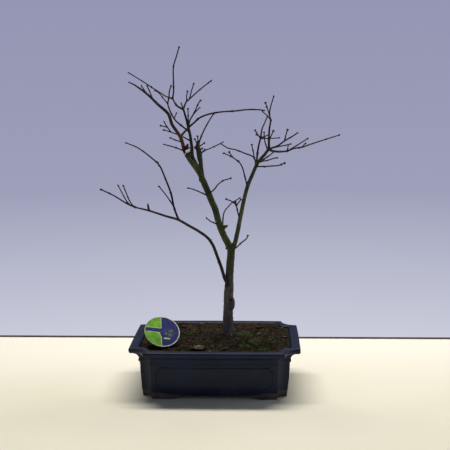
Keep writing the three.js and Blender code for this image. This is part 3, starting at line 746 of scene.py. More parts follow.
# Twigs in the same form, each with buds along it and a pair at its tip
twigs = {
    "low1": ((1.1, 0.8), [(-110, -69.5, 283.5), (-121, -74, 289), (-139, -82, 302), (-155, -88, 311)]),
    "low2": ((0.9, 0.75), [(-112, -70, 284), (-118, -66, 290), (-124, -58, 300), (-130, -50, 312)]),
    "low3": ((0.9, 0.75), [(-119, -73, 288), (-123, -76, 295), (-131, -88, 316)]),
    "low4": ((1.3, 1.3), [(-92, -64, 278), (-93, -66, 286)]),
    "low5": ((1.4, 0.85), [
        (-51, -48.5, 262), (-58, -42, 279), (-63, -34, 299), (-71, -26, 318), (-81, -16, 338),
        (-92, -10, 348), (-115, 4, 363), (-134, 14, 370)]),
    "low6": ((0.9, 0.75), [(-57, -42, 278), (-66, -50, 295), (-77, -60, 312)]),
    "low7": ((0.8, 0.75), [(-82, -16, 338), (-83, -20, 343)]),
    "limb1": ((1, 0.8), [
        (10.5, 9, 243), (11, 20, 257), (13, 30, 264), (18, 42, 269), (24, 54, 274), (35, 68, 279)]),
    "limb2": ((1, 0.75), [(9, 10, 243), (-1, 4, 249), (-7, -8, 254), (-12, -18, 260)]),
    "limb3": ((1, 0.75), [(-9, 16, 288), (-22, 4, 296), (-32, -8, 302), (-39, -16, 305)]),
    "limb4": ((1, 0.75), [(-10, 18, 292), (-1, 8, 301), (4, 0, 308), (12, -10, 315), (24, -24, 320)]),
    "limb5": ((1.1, 0.8), [(25, 5, 208), (31, 1, 212), (39, -7, 221), (47, -16, 229), (49, -20, 234)]),
    "outer1": ((0.9, 0.75), [(-87, -38, 436), (-89, -36, 441), (-95, -30, 454)]),
    "outer2": ((0.9, 0.75), [(-92, -42, 441), (-97, -48, 448), (-100, -56, 454)]),
    "outer3": ((0.9, 0.75), [(-49, 2, 372), (-57, -8, 375), (-64, -18, 379)]),
    "outer4": ((1, 0.75), [(-44, 7, 357), (-57, -8, 364), (-73, -24, 370)]),
    "outer5": ((0.9, 0.75), [(-46, 6, 360), (-41, 0, 368)]),
    "outer6": ((1.3, 1), [(-46, 6, 362), (-43, 3, 365), (-41, 1, 366)]),
    "outer7": ((1.2, 0.9), [(-46, 6, 361), (-41, 4, 363), (-37, 3, 363)]),
    "arching": ((1.6, 1.5, 1.4, 1.35, 1.3, 1.25, 1.2, 1.15, 1.1, 1.05, 1, 0.95, 0.9), [
        (-51, 1, 380), (-46, 5, 386), (-41, 6, 391), (-36, 5, 396), (-31, 2, 400), (-23, -4, 407),
        (-12, -12, 412), (0, -18, 415), (13, -24, 417), (30, -30, 418), (48, -34, 420), (63, -36, 420),
        (72, -36, 419)]),
    "upper1": ((1.4, 1.1), [(-48, 30, 419), (-58, 26, 425), (-64, 20, 436)]),
    "leader": ((1.1, 0.8), [
        (-64, 20, 435), (-62, 18, 446), (-62, 18, 464), (-62, 22, 483), (-58, 25, 497), (-54, 28, 511)]),
    "upper2": ((1.1, 0.8), [
        (-64, 20, 436), (-72, 26, 438), (-85, 36, 445), (-115, 56, 463), (-136, 70, 475)]),
    "upper3": ((1.2, 0.8), [
        (-49, 30, 419), (-45, 36, 430), (-40, 42, 435), (-25, 58, 449), (-9, 72, 462)]),
    "upper4": ((0.85, 0.75), [(-44, 37, 431), (-44, 38, 440), (-43, 40, 446)]),
    "upper5": ((0.85, 0.75), [(-40, 42, 435), (-37, 38, 446), (-33, 34, 457)]),
    "upper6": ((0.9, 0.8), [(-49, 30, 420), (-52, 34, 428)]),
    "side1": ((1.3, 0.85), [
        (-40, 27, 386), (-51, 32, 394), (-62, 38, 403), (-68, 42, 412), (-72, 45, 421), (-74, 47, 428),
        (-72, 46, 436), (-71, 44, 446), (-68, 42, 454)]),
    "side2": ((0.9, 0.75), [(-74, 47, 428), (-80, 54, 434), (-88, 62, 443), (-95, 67, 448)]),
    "side3": ((0.85, 0.75), [(-64, 39, 405), (-61, 46, 413)]),
    "front1": ((0.95, 0.75), [(-42, 28, 397), (-41, 24, 405), (-41, 20, 420)]),
    "front2": ((1.1, 0.8), [
        (-41, 27, 391), (-38, 16, 403), (-31, 4, 414), (-23, -8, 429), (-20, -12, 433)]),
    "front3": ((0.85, 0.75), [(-31, 4, 414), (-27, 6, 418), (-23, 10, 422)]),
    "side4": ((1, 0.75), [(-38, 26, 372), (-52, 30, 379), (-69, 36, 385), (-80, 42, 388)]),
    "side5": ((0.85, 0.75), [(-69, 36, 385), (-74, 34, 392), (-83, 28, 395)]),
    "side6": ((0.8, 0.75), [(-74, 34, 392), (-79, 40, 400)]),
    "inner1": ((1.2, 0.8), [
        (-27, 38, 366), (-24, 43, 375), (-19, 50, 387), (-12, 56, 400), (-5, 62, 411)]),
    "inner2": ((0.9, 0.75), [(-27, 37, 363), (-32, 34, 374)]),
    "inner3": ((0.9, 0.75), [(-27, 38, 366), (-28, 36, 378)]),
    "inner4": ((0.9, 0.75), [(-27, 37, 362), (-18, 32, 368)]),
    "inner5": ((0.85, 0.75), [(-27, 35, 357), (-21, 30, 360)]),
    "inner6": ((1, 0.8), [(-25, 29, 348), (-20, 40, 355), (-9, 56, 359), (5, 70, 365), (9, 75, 367)]),
    "inner7": ((0.85, 0.75), [(-20, 40, 355), (-17, 34, 358)]),
    "right1": ((1.1, 0.8), [
        (37, -3, 257), (34, -12, 268), (32, -20, 279), (27, -30, 286), (18, -44, 292)]),
    "right2": ((0.9, 0.75), [(32, -20, 279), (39, -34, 290)]),
    "right3": ((0.8, 0.75), [(32, -20, 279), (31, -18, 284)]),
    "right4": ((1.1, 0.85), [(48, -11, 308), (44, -24, 326), (41, -34, 338), (36, -42, 347)]),
    "right5": ((0.9, 0.75), [(36, -42, 346), (28, -52, 353), (16, -66, 360)]),
    "right6": ((0.8, 0.75), [(28, -52, 353), (23, -50, 360)]),
    "right7": ((1, 0.8), [
        (62, -18, 337), (74, -32, 338), (83, -46, 340), (93, -60, 342), (101, -70, 346)]),
    "right8": ((1.1, 0.8), [
        (61, -17, 339), (58, -4, 349), (44, 14, 354), (31, 28, 358), (18, 42, 360), (8, 54, 365)]),
    "right9": ((0.85, 0.75), [(59, -8, 347), (57, -18, 359), (55, -26, 369)]),
    "rightLeader": ((1.6, 1.1), [
        (80, -24, 362), (80, -23, 372), (80, -20, 381), (81, -16, 394), (83, -14, 404)]),
    "top1": ((1, 0.8), [(83, -14, 403), (81, -10, 412), (82, -8, 421), (87, -2, 438)]),
    "top2": ((0.9, 0.75), [(81, -10, 412), (79, -16, 417), (75, -24, 429)]),
    "top3": ((0.9, 0.75), [(83, -14, 404), (78, -4, 410), (71, 8, 416)]),
    "top4": ((0.95, 0.75), [(78, -23, 362), (74, -16, 374), (73, -8, 386)]),
    "top5": ((0.85, 0.75), [(80, -22, 375), (86, -34, 389)]),
    "mid1": ((1.4, 0.85), [
        (62, -18, 337), (63, -12, 353), (65, -6, 366), (68, 0, 378), (70, 8, 390), (74, 16, 399),
        (78, 24, 408)]),
    "mid2": ((0.85, 0.75), [(68, 0, 378), (65, -8, 381), (62, -14, 383)]),
    "mid3": ((0.9, 0.75), [(68, 0, 377), (64, 8, 382), (60, 16, 388)]),
    "mid4": ((0.9, 0.75), [(68, 0, 377), (83, 16, 376), (96, 28, 376)]),
    "mid5": ((0.85, 0.75), [(68, 0, 378), (76, -8, 381), (80, -12, 383)]),
    "far1": ((1.4, 0.85), [
        (79, -24, 362), (85, -30, 365), (92, -38, 368), (102, -48, 376), (111, -58, 382),
        (119, -68, 388)]),
    "far2": ((0.85, 0.75), [(102, -48, 376), (104, -46, 385), (106, -44, 391)]),
    "far3": ((0.9, 0.75), [(91, -37, 367), (101, -30, 368), (111, -26, 370)]),
    "far4": ((1, 0.8), [(67, -20, 344), (72, -18, 347), (80, -14, 352), (88, -10, 358)]),
    "far5": ((1, 0.8), [(107, 11, 357), (123, 24, 365), (139, 36, 374)]),
    "far6": ((1.15, 0.8), [
        (107, 11, 357), (119, 16, 361), (130, 22, 362), (144, 32, 366), (163, 46, 371), (190, 64, 378)]),
    "far7": ((0.8, 0.75), [(130, 22, 362), (135, 16, 368)]),
    "far8": ((0.8, 0.75), [(108, 12, 357), (109, 6, 366)]),
    "far9": ((0.85, 0.75), [(73, -18, 347.5), (76, -30, 351)]),
    "far10": ((0.95, 0.75), [(66, -20, 344), (78, -32, 347), (87, -44, 351), (91, -50, 352)]),
    "low8": ((0.8, 0.7), [(-7.6, -21.6, 226.3), (-6.1, -21.3, 227.3)]),
    "low9": ((0.8, 0.7), [(6, -7.5, 189.8), (4.6, -8, 190.8)]),
}

# Callus and old wounds: place, radius, and height over width
swellings = [((22.9, 6, 124), 5.8, 2.1), ((21.8, 6, 146), 5, 1.8), ((18, 5, 148), 3.4, 0.8),
             ((23.3, 6, 213), 6.5, 0.9), ((16.8, 7, 210), 2.6, 0.8), ((28.8, 4, 211), 2.4, 0.8),
             ((-21, 19, 315), 4.9, 1.3), ((13.5, 6, 243), 3.2, 1), ((17, 3, 245), 2.1, 1),
             ((-40, 14, 351), 3.6, 1.8), ((-30.8, 34, 361.5), 2.9, 0.9)]
woundAt = (23.6, 1, 131)  # the middle of the open scar on the trunk


def radiusAlong(radii, part):
    place = part * (len(radii) - 1)
    first = min(int(place), len(radii) - 2)
    return radii[first] + (radii[first + 1] - radii[first]) * (place - first)


# A smooth path through the points in even steps, with the radius at each step
def smoothPath(radii, points):
    points = [Vector(p) for p in points]
    wide = [points[0] * 2 - points[1], *points, points[-1] * 2 - points[-2]]
    path = []
    for i in range(1, len(wide) - 2):
        before, start, end, after = wide[i - 1:i + 3]
        reach = (end - start).length
        leave = (end - before).normalized() * reach
        arrive = (after - start).normalized() * reach
        count = max(1, round(reach / tree["pathStep"]))
        for k in range(count):
            t = k / count
            place = (start * (2 * t ** 3 - 3 * t ** 2 + 1) + leave * (t ** 3 - 2 * t ** 2 + t)
                     + end * (3 * t ** 2 - 2 * t ** 3) + arrive * (t ** 3 - t ** 2))
            path.append((place, radiusAlong(radii, (i - 1 + t) / (len(points) - 1))))
    path.append((points[-1], radii[-1]))
    return path


# For each point of a mesh: the nearest step of a shoot, with its radius, direction and youth,
# which is 0 on old wood, 1 on the purple-brown bark of young shoots and 2 where that is rusty
def nearestShoot(mesh, paths):
    steps = []
    old, young = tree["oldRadius"], tree["youngRadius"]
    for name, path in paths.items():
        for i, (place, radius) in enumerate(path):
            grain = (path[min(i + 1, len(path) - 1)][0] - path[max(i - 1, 0)][0]).normalized()
            youth = min(max((old - radius) / (old - young), 0), 1)
            if place.z > brownFrom.get(name, 1000):
                youth = max(youth, 0.85)
            low, high = rusty.get(name, (1000, 1000))
            if low < place.z < high:
                youth = 2
            steps.append((radius, grain, youth))
    finder = KDTree(len(steps))
    places = [place for path in paths.values() for place, _ in path]
    for i, place in enumerate(places):
        finder.insert(at(*place), i)
    finder.balance()
    return [steps[finder.find(v.co)[1]] for v in mesh.vertices]


# A value for each point of the mesh, for the material to read
def markPoints(mesh, name, values):
    layer = mesh.attributes.new(name, "FLOAT", "POINT")
    layer.data.foreach_set("value", values)


# Fine cracks that run with the grain, deepest on the oldest wood
def roughenBark(mesh, nearest):
    mesh.update()
    moves = []
    for v, (radius, grain, _) in zip(mesh.vertices, nearest):
        local = v.co / mm
        across = local - grain * local.dot(grain) * (1 - tree["grainStretch"])
        old = min(max((150 - v.co.z / mm) / 60, 0), 1)
        cracks = noise.fractal(across * 0.55, 0.8, 2.1, 4)
        lumps = noise.noise(local * 0.11)
        depth = tree["barkDepth"] * radius
        moves.append(v.normal * mm * (depth * (0.6 + old) * cracks + 0.7 * depth * lumps))
    for v, move in zip(mesh.vertices, moves):
        v.co += move


def growBark(mesh, paths):
    nearest = nearestShoot(mesh, paths)
    roughenBark(mesh, nearest)
    markPoints(mesh, "youth", [youth for _, _, youth in nearest])


def addSwellings(bm):
    for (x, y, z), radius, tall in swellings:
        shape = Matrix.Diagonal((radius * mm, radius * mm, radius * tall * mm, 1))
        place = Matrix.Translation(at(x, y, z)) @ shape
        bmesh.ops.create_icosphere(bm, subdivisions=3, radius=1, matrix=place)


# Surface roots that spread from the trunk's foot down into the soil
def rootPaths():
    rng = random.Random(5)
    middle = Vector((soil["moundX"], soil["moundY"], 0))
    paths = []
    for i in range(tree["roots"]):
        angle = 2 * math.pi * (i + rng.uniform(-0.25, 0.25)) / tree["roots"]
        out = Vector((math.cos(angle), math.sin(angle), 0))
        profile = ((3.5, 93), (6.2, 81), (9.6, 74.5), (14.5, 70), (20, 66))
        points = [middle + out * reach + Vector((0, 0, z)) for reach, z in profile]
        paths.append(smoothPath((2.2, 2.5, 2.2, 1.5, 0.9), points))
    return paths


def makeWood():
    paths = {name: smoothPath(*shoot) for name, shoot in wood.items()}
    bm = bmesh.new()
    bm.from_mesh(tubesAlong([*paths.values(), *rootPaths()], tree["woodSides"]))
    addSwellings(bm)
    obj = fromBmesh("tree_wood", bm, barkMaterial())
    joinUp = obj.modifiers.new("join", "REMESH")
    joinUp.mode = "VOXEL"
    joinUp.voxel_size = tree["voxel"] * mm
    smooth = obj.modifiers.new("smooth", "SMOOTH")
    smooth.factor = 0.5
    smooth.iterations = tree["woodSmoothing"]
    applyModifiers(obj)
    growBark(obj.data, paths)
    distances = [(v.co - at(*woundAt)).length / mm for v in obj.data.vertices]
    markPoints(obj.data, "wound", [max(0, 1 - distance / tree["woundReach"]) for distance in distances])
    obj.data.polygons.foreach_set("use_smooth", [True] * len(obj.data.polygons))
    standsFor(obj, "bark", "tree")


# Twigs swell into a collar at the foot, and a little at each node
def twigPath(radii, points, nodes):
    path = smoothPath(radii, points)
    length = 0
    shaped = []
    for i, (place, radius) in enumerate(path):
        if i:
            length += (place - path[i - 1][0]).length
        knuckle = max([math.exp(-((length - node) / tree["knuckleReach"]) ** 2) for node in nodes] + [0])
        collar = tree["collar"] * math.exp(-length / tree["collarReach"])
        shaped.append((place, radius * (tree["stout"] + collar + tree["knuckle"] * knuckle)))
    return shaped


# The distances along a twig at which a pair of buds sits
def nodePlaces(rng, points):
    length = sum((Vector(b) - Vector(a)).length for a, b in zip(points, points[1:]))
    place = tree["nodeGap"] * rng.uniform(0.5, 0.8)
    nodes = []
    while place < length - tree["budlessTip"]:
        nodes.append(place)
        place += tree["nodeGap"] * rng.uniform(0.7, 1.4)
    return nodes


# A pointed bud, its foot sunk a little into the shoot
def budShape():
    bm = bmesh.new()
    bmesh.ops.create_uvsphere(bm, u_segments=8, v_segments=7, radius=1)
    for v in bm.verts:
        point = max(v.co.z, 0)
        v.co.x *= 1 - 0.6 * point ** 2
        v.co.y *= 1 - 0.6 * point ** 2
        v.co.z += 0.9
    for face in bm.faces:
        face.smooth = True
    return meshOf(bm)


# Two buds on opposite sides of a shoot, leaning forward along it
def addBudPair(bm, shape, rng, place, forward, offset, radius, length, spread, turn):
    side = forward.orthogonal().normalized()
    side.rotate(Quaternion(forward, turn))
    hinge = forward.cross(side)
    for way in (1, -1):
        lean = forward.copy()
        lean.rotate(Quaternion(hinge, math.radians(way * spread)))
        aim = lean.to_track_quat("Z", "Y").to_matrix().to_4x4()
        size = rng.uniform(0.85, 1.15)
        grow = Matrix.Diagonal((radius * size * mm, radius * size * mm, length / 1.9 * size * mm, 1))
        addCopy(bm, shape, Matrix.Translation(at(*(place + side * way * offset))) @ aim @ grow, rng.random())


def makeTwigs():
    rng = random.Random(3)
    shape = budShape()
    buds = bmesh.new()
    paths = {}
    for name, (radii, points) in twigs.items():
        nodes = nodePlaces(rng, points)
        path = twigPath(radii, points, nodes)
        paths[name] = path
        length, turn = 0, rng.uniform(0, 3)
        for (start, _), (end, radius) in zip(path, path[1:]):
            step = (end - start).length
            forward = (end - start).normalized()
            for node in nodes:
                if length <= node < length + step:
                    turn += math.pi / 2
                    place = start + forward * (node - length)
                    addBudPair(buds, shape, rng, place, forward, radius * 0.7, tree["budRadius"],
                               tree["budLength"], tree["budSpread"], turn)
            length += step
        forward = (path[-1][0] - path[-2][0]).normalized()
        addBudPair(buds, shape, rng, path[-1][0] - forward, forward, 0.5, tree["tipBudRadius"],
                   tree["tipBudLength"], tree["tipBudSpread"], turn)
    bm = bmesh.new()
    bm.from_mesh(tubesAlong(paths.values(), tree["twigSides"]))
    obj = fromBmesh("tree_twigs", bm, barkMaterial())
    growBark(obj.data, paths)
    standsFor(obj, "bark", "tree")
    standsFor(fromBmesh("tree_buds", buds, budMaterial()), "bark", "tree")


# Grey-brown and rough low down, green higher on the trunk and limbs, red-brown on the twigs
def barkMaterial():
    kit = Surface("bark")
    grain = kit.noise(160, 5, 0.65, (1, 1, 0.22))
    blotches = kit.noise(55, 4, 0.6, (1, 1, 0.6), 3)
    old = kit.ramp(blotches, (0.3, 70, 68, 68), (0.5, 94, 90, 88), (0.7, 122, 116, 108))
    green = kit.ramp(blotches, (0.3, 50, 54, 40), (0.52, 70, 77, 48), (0.75, 94, 101, 64))
    young = kit.ramp(blotches, (0.35, 34, 24, 33), (0.52, 47, 33, 40), (0.66, 70, 48, 44),
                     (0.78, 104, 68, 48))
    height = kit.calc("ADD", kit.along("Z"), kit.rescale(blotches, 0.3, 0.7, -0.02, 0.02))
    bark = kit.mix(kit.rescale(height, 0.142, 0.172), old, green)
    youth = kit.attribute("youth")
    bark = kit.mix(kit.rescale(youth, 0, 1), bark, young)
    rust = kit.ramp(blotches, (0.36, 44, 33, 34), (0.5, 74, 51, 40), (0.66, 112, 76, 48))
    bark = kit.mix(kit.rescale(youth, 1, 2), bark, rust)
    dark = kit.rescale(grain, 0.48, 0.34, 0, 0.45)
    bark = kit.mix(dark, bark, srgb(26, 23, 20))
    lichen = kit.rescale(kit.noise(90, 3, 0.5, (1, 1, 1), 9), 0.66, 0.74, 0, 0.4)
    bark = kit.mix(lichen, bark, srgb(128, 128, 104))
    damp = kit.rescale(height, 0.088, 0.074, 0, 0.7)
    bark = kit.mix(damp, bark, srgb(40, 34, 30))
    sore = kit.attribute("wound")
    bark = kit.mix(kit.rescale(sore, 0.05, 0.4, 0, 0.7), bark, srgb(94, 68, 62))
    bark = kit.mix(kit.rescale(sore, 0.55, 0.8), bark, srgb(48, 22, 20))
    return kit.finish(bark, 0.78, grain, 0.6, 0.0008)


def budMaterial():
    kit = Surface("bud_scales")
    scales = kit.noise(500, 3, 0.6)
    tone = kit.ramp(kit.attribute("tint"), (0, 46, 26, 28), (0.5, 66, 38, 38), (1, 98, 60, 50))
    edge = kit.rescale(scales, 0.5, 0.62, 0, 0.5)
    return kit.finish(kit.mix(edge, tone, srgb(48, 26, 24)), 0.5, scales, 0.4, 0.0003)


pruningCut = {
    "place": (-41.1, -0.1, 359.3), "facing": (0.2, -4.5, 7), "radius": 2.8, "thickness": 0.9,
    "rimWidth": 0.5, "dish": 0.15,
    "strip": ((0.45, 0.5, 0.35), [(-41.5, 1.6, 357.5), (-43.6, 1.4, 355), (-46, 3, 352)]),
}


# The pale end of a pruned stub, slightly dished, with a strip of peeled bark hanging from it; its near-white
# colour is pale cut wood with a painted highlight
def makePruningCut():
    bm = bmesh.new()
    bmesh.ops.create_circle(bm, cap_ends=True, segments=20, radius=pruningCut["radius"])
    bmesh.ops.inset_region(bm, faces=bm.faces[:], thickness=pruningCut["rimWidth"],
                           depth=-pruningCut["dish"])
    bmesh.ops.solidify(bm, geom=bm.faces[:], thickness=pruningCut["thickness"])
    outward = Vector(pruningCut["facing"]).to_track_quat("Z", "Y").to_matrix().to_4x4()
    place = Matrix.Translation(at(*pruningCut["place"])) @ outward @ Matrix.Scale(mm, 4)
    bmesh.ops.transform(bm, matrix=place, verts=bm.verts)
    strip = smoothPath(*pruningCut["strip"])
    bm.from_mesh(tubesAlong([strip], tree["twigSides"]))
    bmesh.ops.recalc_face_normals(bm, faces=bm.faces)
    standsFor(fromBmesh("pruning_cut", bm, cutWoodAndHighlightMaterial(), smooth=False), "bark", "tree")


def cutWoodAndHighlightMaterial():
    kit = Surface("cut_wood_and_painted_highlight")
    rings = kit.noise(700, 3, 0.5)
    # near white: the pale colour of cut wood, brightened further as a painted highlight
    tone = kit.ramp(rings, (0.35, 236, 228, 196), (0.6, 252, 249, 232))
    return kit.finish(tone, 0.7, rings, 0.2, 0.0002)


makeWood()
makeTwigs()
makePruningCut()
print("tree made")


label = {
    "centre": (-81, -25, 86.6), "lean": 49, "turn": 20, "radius": 27, "thickness": 2.4, "rim": 1.5,
    "recess": 0.9, "turnSteps": 96, "printGap": 0.15, "printSunk": 0.3, "stakeWidth": 11,
    "stakeThickness": 2.4, "stakeBottom": 34, "stakeBehind": 3, "stakeRounding": 0.7,
    # the print, in millimetres from the middle of the face after it is turned
    "printTurn": 12.4, "mapWidth": 60, "discX": 11, "discY": -1, "discRadius": 14.4, "smudgeRadius": 9.2,
    "bandSlope": -0.03, "bandLow": -1.7, "bandHigh": 5.5,
    "barX": 7.6, "barY": -11.6, "barHalfLength": 4.6, "barHalfWidth": 1.4,
}


# Leans the label's own frame, with its face towards +Z, back to where it stands
def stoodUp():
    turn = turned(label["turn"], "Z") @ turned(90 - label["lean"], "X")
    return Matrix.Translation(at(*label["centre"])) @ turn @ Matrix.Scale(mm, 4)


def makeLabelTag():
    r, t = label["radius"], label["thickness"]
    inner, seat = r - label["rim"], t - label["recess"]
    profile = [(0, 0), (r - 0.9, 0), (r - 0.3, 0.3), (r, 1), (r, t - 0.5), (r - 0.25, t - 0.1), (r - 0.7, t),
               (inner + 0.4, t), (inner + 0.1, t - 0.2), (inner, seat), (0, seat)]
    bm = bmesh.new()
    verts = [bm.verts.new((x, 0, z)) for x, z in profile]
    edges = [bm.edges.new(pair) for pair in zip(verts, verts[1:])]
    bmesh.ops.spin(bm, geom=verts + edges, cent=(0, 0, 0), axis=(0, 0, 1), angle=2 * math.pi,
                   steps=label["turnSteps"], use_merge=True)
    bmesh.ops.remove_doubles(bm, verts=bm.verts, dist=1e-3)
    bmesh.ops.recalc_face_normals(bm, faces=bm.faces)
    bmesh.ops.transform(bm, matrix=stoodUp(), verts=bm.verts)
    standsFor(fromBmesh("label_disc", bm, labelPlasticMaterial()), "label_plastic", "label_tag")


# The upright stake behind the disc, pointed where it goes into the compost
def makeLabelStake():
    x, y, z = label["centre"]
    behind = y + label["stakeBehind"]
    top, bottom = z + 2, label["stakeBottom"]
    bm = bmesh.new()
    bmesh.ops.create_cube(bm, size=1)
    size = (label["stakeWidth"] * mm, label["stakeThickness"] * mm, (top - bottom) * mm)
    bmesh.ops.scale(bm, vec=size, verts=bm.verts)
    bmesh.ops.translate(bm, vec=at(x, behind, (top + bottom) / 2), verts=bm.verts)
    edges = [e for e in bm.edges if abs(e.verts[0].co.z - e.verts[1].co.z) > mm]
    bmesh.ops.bevel(bm, geom=edges, offset=label["stakeRounding"] * mm, segments=3, profile=0.5,
                    affect="EDGES", material=-1)
    point = [v for v in bm.verts if v.co.z < (bottom + 1) * mm]
    bmesh.ops.scale(bm, vec=(0.4, 0.6, 1), space=Matrix.Translation(-at(x, behind, 0)), verts=point)
    bmesh.ops.rotate(bm, cent=at(x, y, 0), matrix=turned(label["turn"], "Z", 3), verts=bm.verts)
    stake = fromBmesh("label_stake", bm, labelPlasticMaterial(), smooth=False)
    standsFor(stake, "label_plastic", "label_tag")


# The printed face, with its own flat map in millimetres over the label's width
def makeLabelFace():
    radius = label["radius"] - label["rim"] - label["printGap"]
    low = label["thickness"] - label["recess"] + 0.05
    sunk = label["printSunk"]
    bm = bmesh.new()
    bmesh.ops.create_circle(bm, cap_ends=True, segments=label["turnSteps"], radius=radius)
    bmesh.ops.inset_region(bm, faces=bm.faces[:], thickness=0.5, depth=0.2)
    base = [e for e in bm.edges if e.is_boundary]
    bmesh.ops.translate(bm, vec=(0, 0, low + sunk), verts=bm.verts)
    grown = bmesh.ops.extrude_edge_only(bm, edges=base)["geom"]
    lower = [g for g in grown if isinstance(g, bmesh.types.BMVert)]
    bmesh.ops.translate(bm, vec=(0, 0, -sunk), verts=lower)
    bmesh.ops.contextual_create(bm, geom=[e for e in bm.edges if e.is_boundary])
    bmesh.ops.recalc_face_normals(bm, faces=bm.faces)
    flat = bm.loops.layers.uv.new("flat")
    turn = turned(label["printTurn"], "Z", 3)
    for face in bm.faces:
        for loop in face.loops:
            spot = turn @ loop.vert.co
            loop[flat].uv = (spot.x / label["mapWidth"] + 0.5, spot.y / label["mapWidth"] + 0.5)
    bmesh.ops.transform(bm, matrix=stoodUp(), verts=bm.verts)
    face = fromBmesh("label_print", bm, labelPrintMaterial(), smooth=False)
    standsFor(face, "label_print", "label_face")


def labelPlasticMaterial():
    kit = Surface("label_plastic")
    stain = kit.noise(120, 4, 0.6)
    tone = kit.ramp(stain, (0.35, 196, 204, 178), (0.6, 222, 226, 204), (0.8, 232, 234, 216))
    dirt = kit.rescale(kit.noise(60, 4, 0.6, (1, 1, 1), 2), 0.58, 0.75, 0, 0.5)
    tone = kit.mix(dirt, tone, srgb(112, 116, 84))
    # the left of the rim has faded less, and is still green
    leftEdge = at(*label["centre"]).x - label["radius"] * mm
    green = kit.rescale(kit.along("X"), leftEdge + 0.012, leftEdge + 0.03, 0.75, 0)
    return kit.finish(kit.mix(green, tone, srgb(112, 158, 58)), 0.45, stain, 0.1, 0.0004)


# Green on the left and navy on the right, with a navy band across and thin pale lines between
def labelPrintMaterial():
    kit = Surface("label_print")
    calc, minus, rescale = kit.calc, kit.minus, kit.rescale
    x, y = kit.flatMap("flat", label["mapWidth"])
    alongDisc, acrossDisc = minus(x, label["discX"]), minus(y, label["discY"])
    square = calc("ADD", calc("POWER", alongDisc, 2), calc("POWER", acrossDisc, 2))
    fromDisc = calc("POWER", square, 0.5)
    # distances into the navy: right of the middle, inside the disc, or on the band
    intoRight = calc("ADD", x, calc("ADD", kit.times(y, 0.05), 0.9))
    intoDisc = minus(label["discRadius"], fromDisc)
    level = minus(y, kit.times(x, label["bandSlope"]))
    intoBand = calc("MINIMUM", minus(level, label["bandLow"]), minus(label["bandHigh"], level))
    intoNavy = calc("MAXIMUM", calc("MAXIMUM", intoRight, intoDisc), intoBand)
    navy = rescale(intoNavy, -0.05, 0.15)
    border = minus(rescale(intoNavy, -0.85, -0.65), navy)
    fade = kit.noise(90, 3, 0.5)
    green = kit.ramp(fade, (0.3, 82, 138, 28), (0.55, 110, 170, 38), (0.75, 134, 188, 56))
    blue = kit.ramp(fade, (0.3, 18, 23, 84), (0.7, 30, 35, 106))
    patches = rescale(kit.noise(170, 3, 0.6, (1, 1, 2.4), 6), 0.44, 0.62, 0, 0.8)
    smudge = kit.times(rescale(minus(label["smudgeRadius"], fromDisc), 0, 3), patches)
    blue = kit.mix(smudge, blue, srgb(98, 124, 82))
    alongBar = minus(label["barHalfLength"], calc("ABSOLUTE", minus(x, label["barX"])))
    acrossBar = minus(label["barHalfWidth"], calc("ABSOLUTE", minus(y, label["barY"])))
    bar = rescale(calc("MINIMUM", alongBar, acrossBar), -0.1, 0.3)
    blue = kit.mix(bar, blue, srgb(170, 190, 128))
    face = kit.mix(border, kit.mix(navy, green, blue), srgb(196, 214, 160))
    worn = rescale(kit.noise(300, 4, 0.7), 0.6, 0.72, 0, 0.35)
    tone = kit.mix(worn, face, srgb(150, 160, 130))
    return kit.finish(tone, 0.55, kit.noise(160, 3, 0.5), 0.08, 0.0003)


makeLabelTag()
makeLabelStake()
makeLabelFace()
print("label made")


cover = {
    "strandChance": 0.34, "strandTint": 0.35, "mossLump": 1.3, "stoneSteps": 3, "sprigsByPad": 120,
    "sprigsApart": 420, "sprigReach": (108, 72), "sprigShoots": 5, "chipWidth": 5, "chipThickness": 2.6,
    "leafThickness": 0.35,
}

# x, y, length, width, height, turn
mossPads = [
    (42, 12, 34, 26, 5, 20), (60, -16, 30, 22, 4, -15), (42, -36, 24, 18, 4, 10),
    (74, -46, 22, 16, 4, 30), (-12, -20, 22, 16, 3.5, 0), (-42, 26, 26, 18, 4, -25),
    (-46, -50, 13, 11, 4, 0), (86, 4, 18, 14, 3.5, 15),
]
# x, y, radius
pebbles = [(-27, 66, 3), (2, 68, 2.6), (103, 52, 2.8), (82, -8, 2.6), (106, 8, 2.4), (66, 15, 3.4),
           (-6, -62, 2.4), (-62, 4, 2.6)]
# x, y, length, turn
barkChips = [(14, -50, 12, 20), (-4, -40, 10, 75), (30, -64, 9, -10), (-90, 22, 12, 50), (-56, 55, 11, -40),
             (66, 52, 12, 10)]


# slot, x, y, turn, length, width, curl, crumple, and a dark, a middle and a light tone
leaves = {
    "dry_leaf": ("dry_leaf", -24, -47, 20, 24, 18, 3, 1.1, ((62, 46, 34), (98, 76, 54), (150, 132, 104))),
    "pale_leaf_scrap": ("pale_leaf", 9, -67, 5, 9, 6, 1.6, 0.4,
                        ((100, 104, 74), (132, 136, 102), (160, 162, 126))),
}


# Takes a shape made in millimetres round the origin to its place on the compost
def laidAt(x, y, turn):
    return Matrix.Translation(at(x, y, 0)) @ turned(turn, "Z") @ Matrix.Scale(mm, 4)


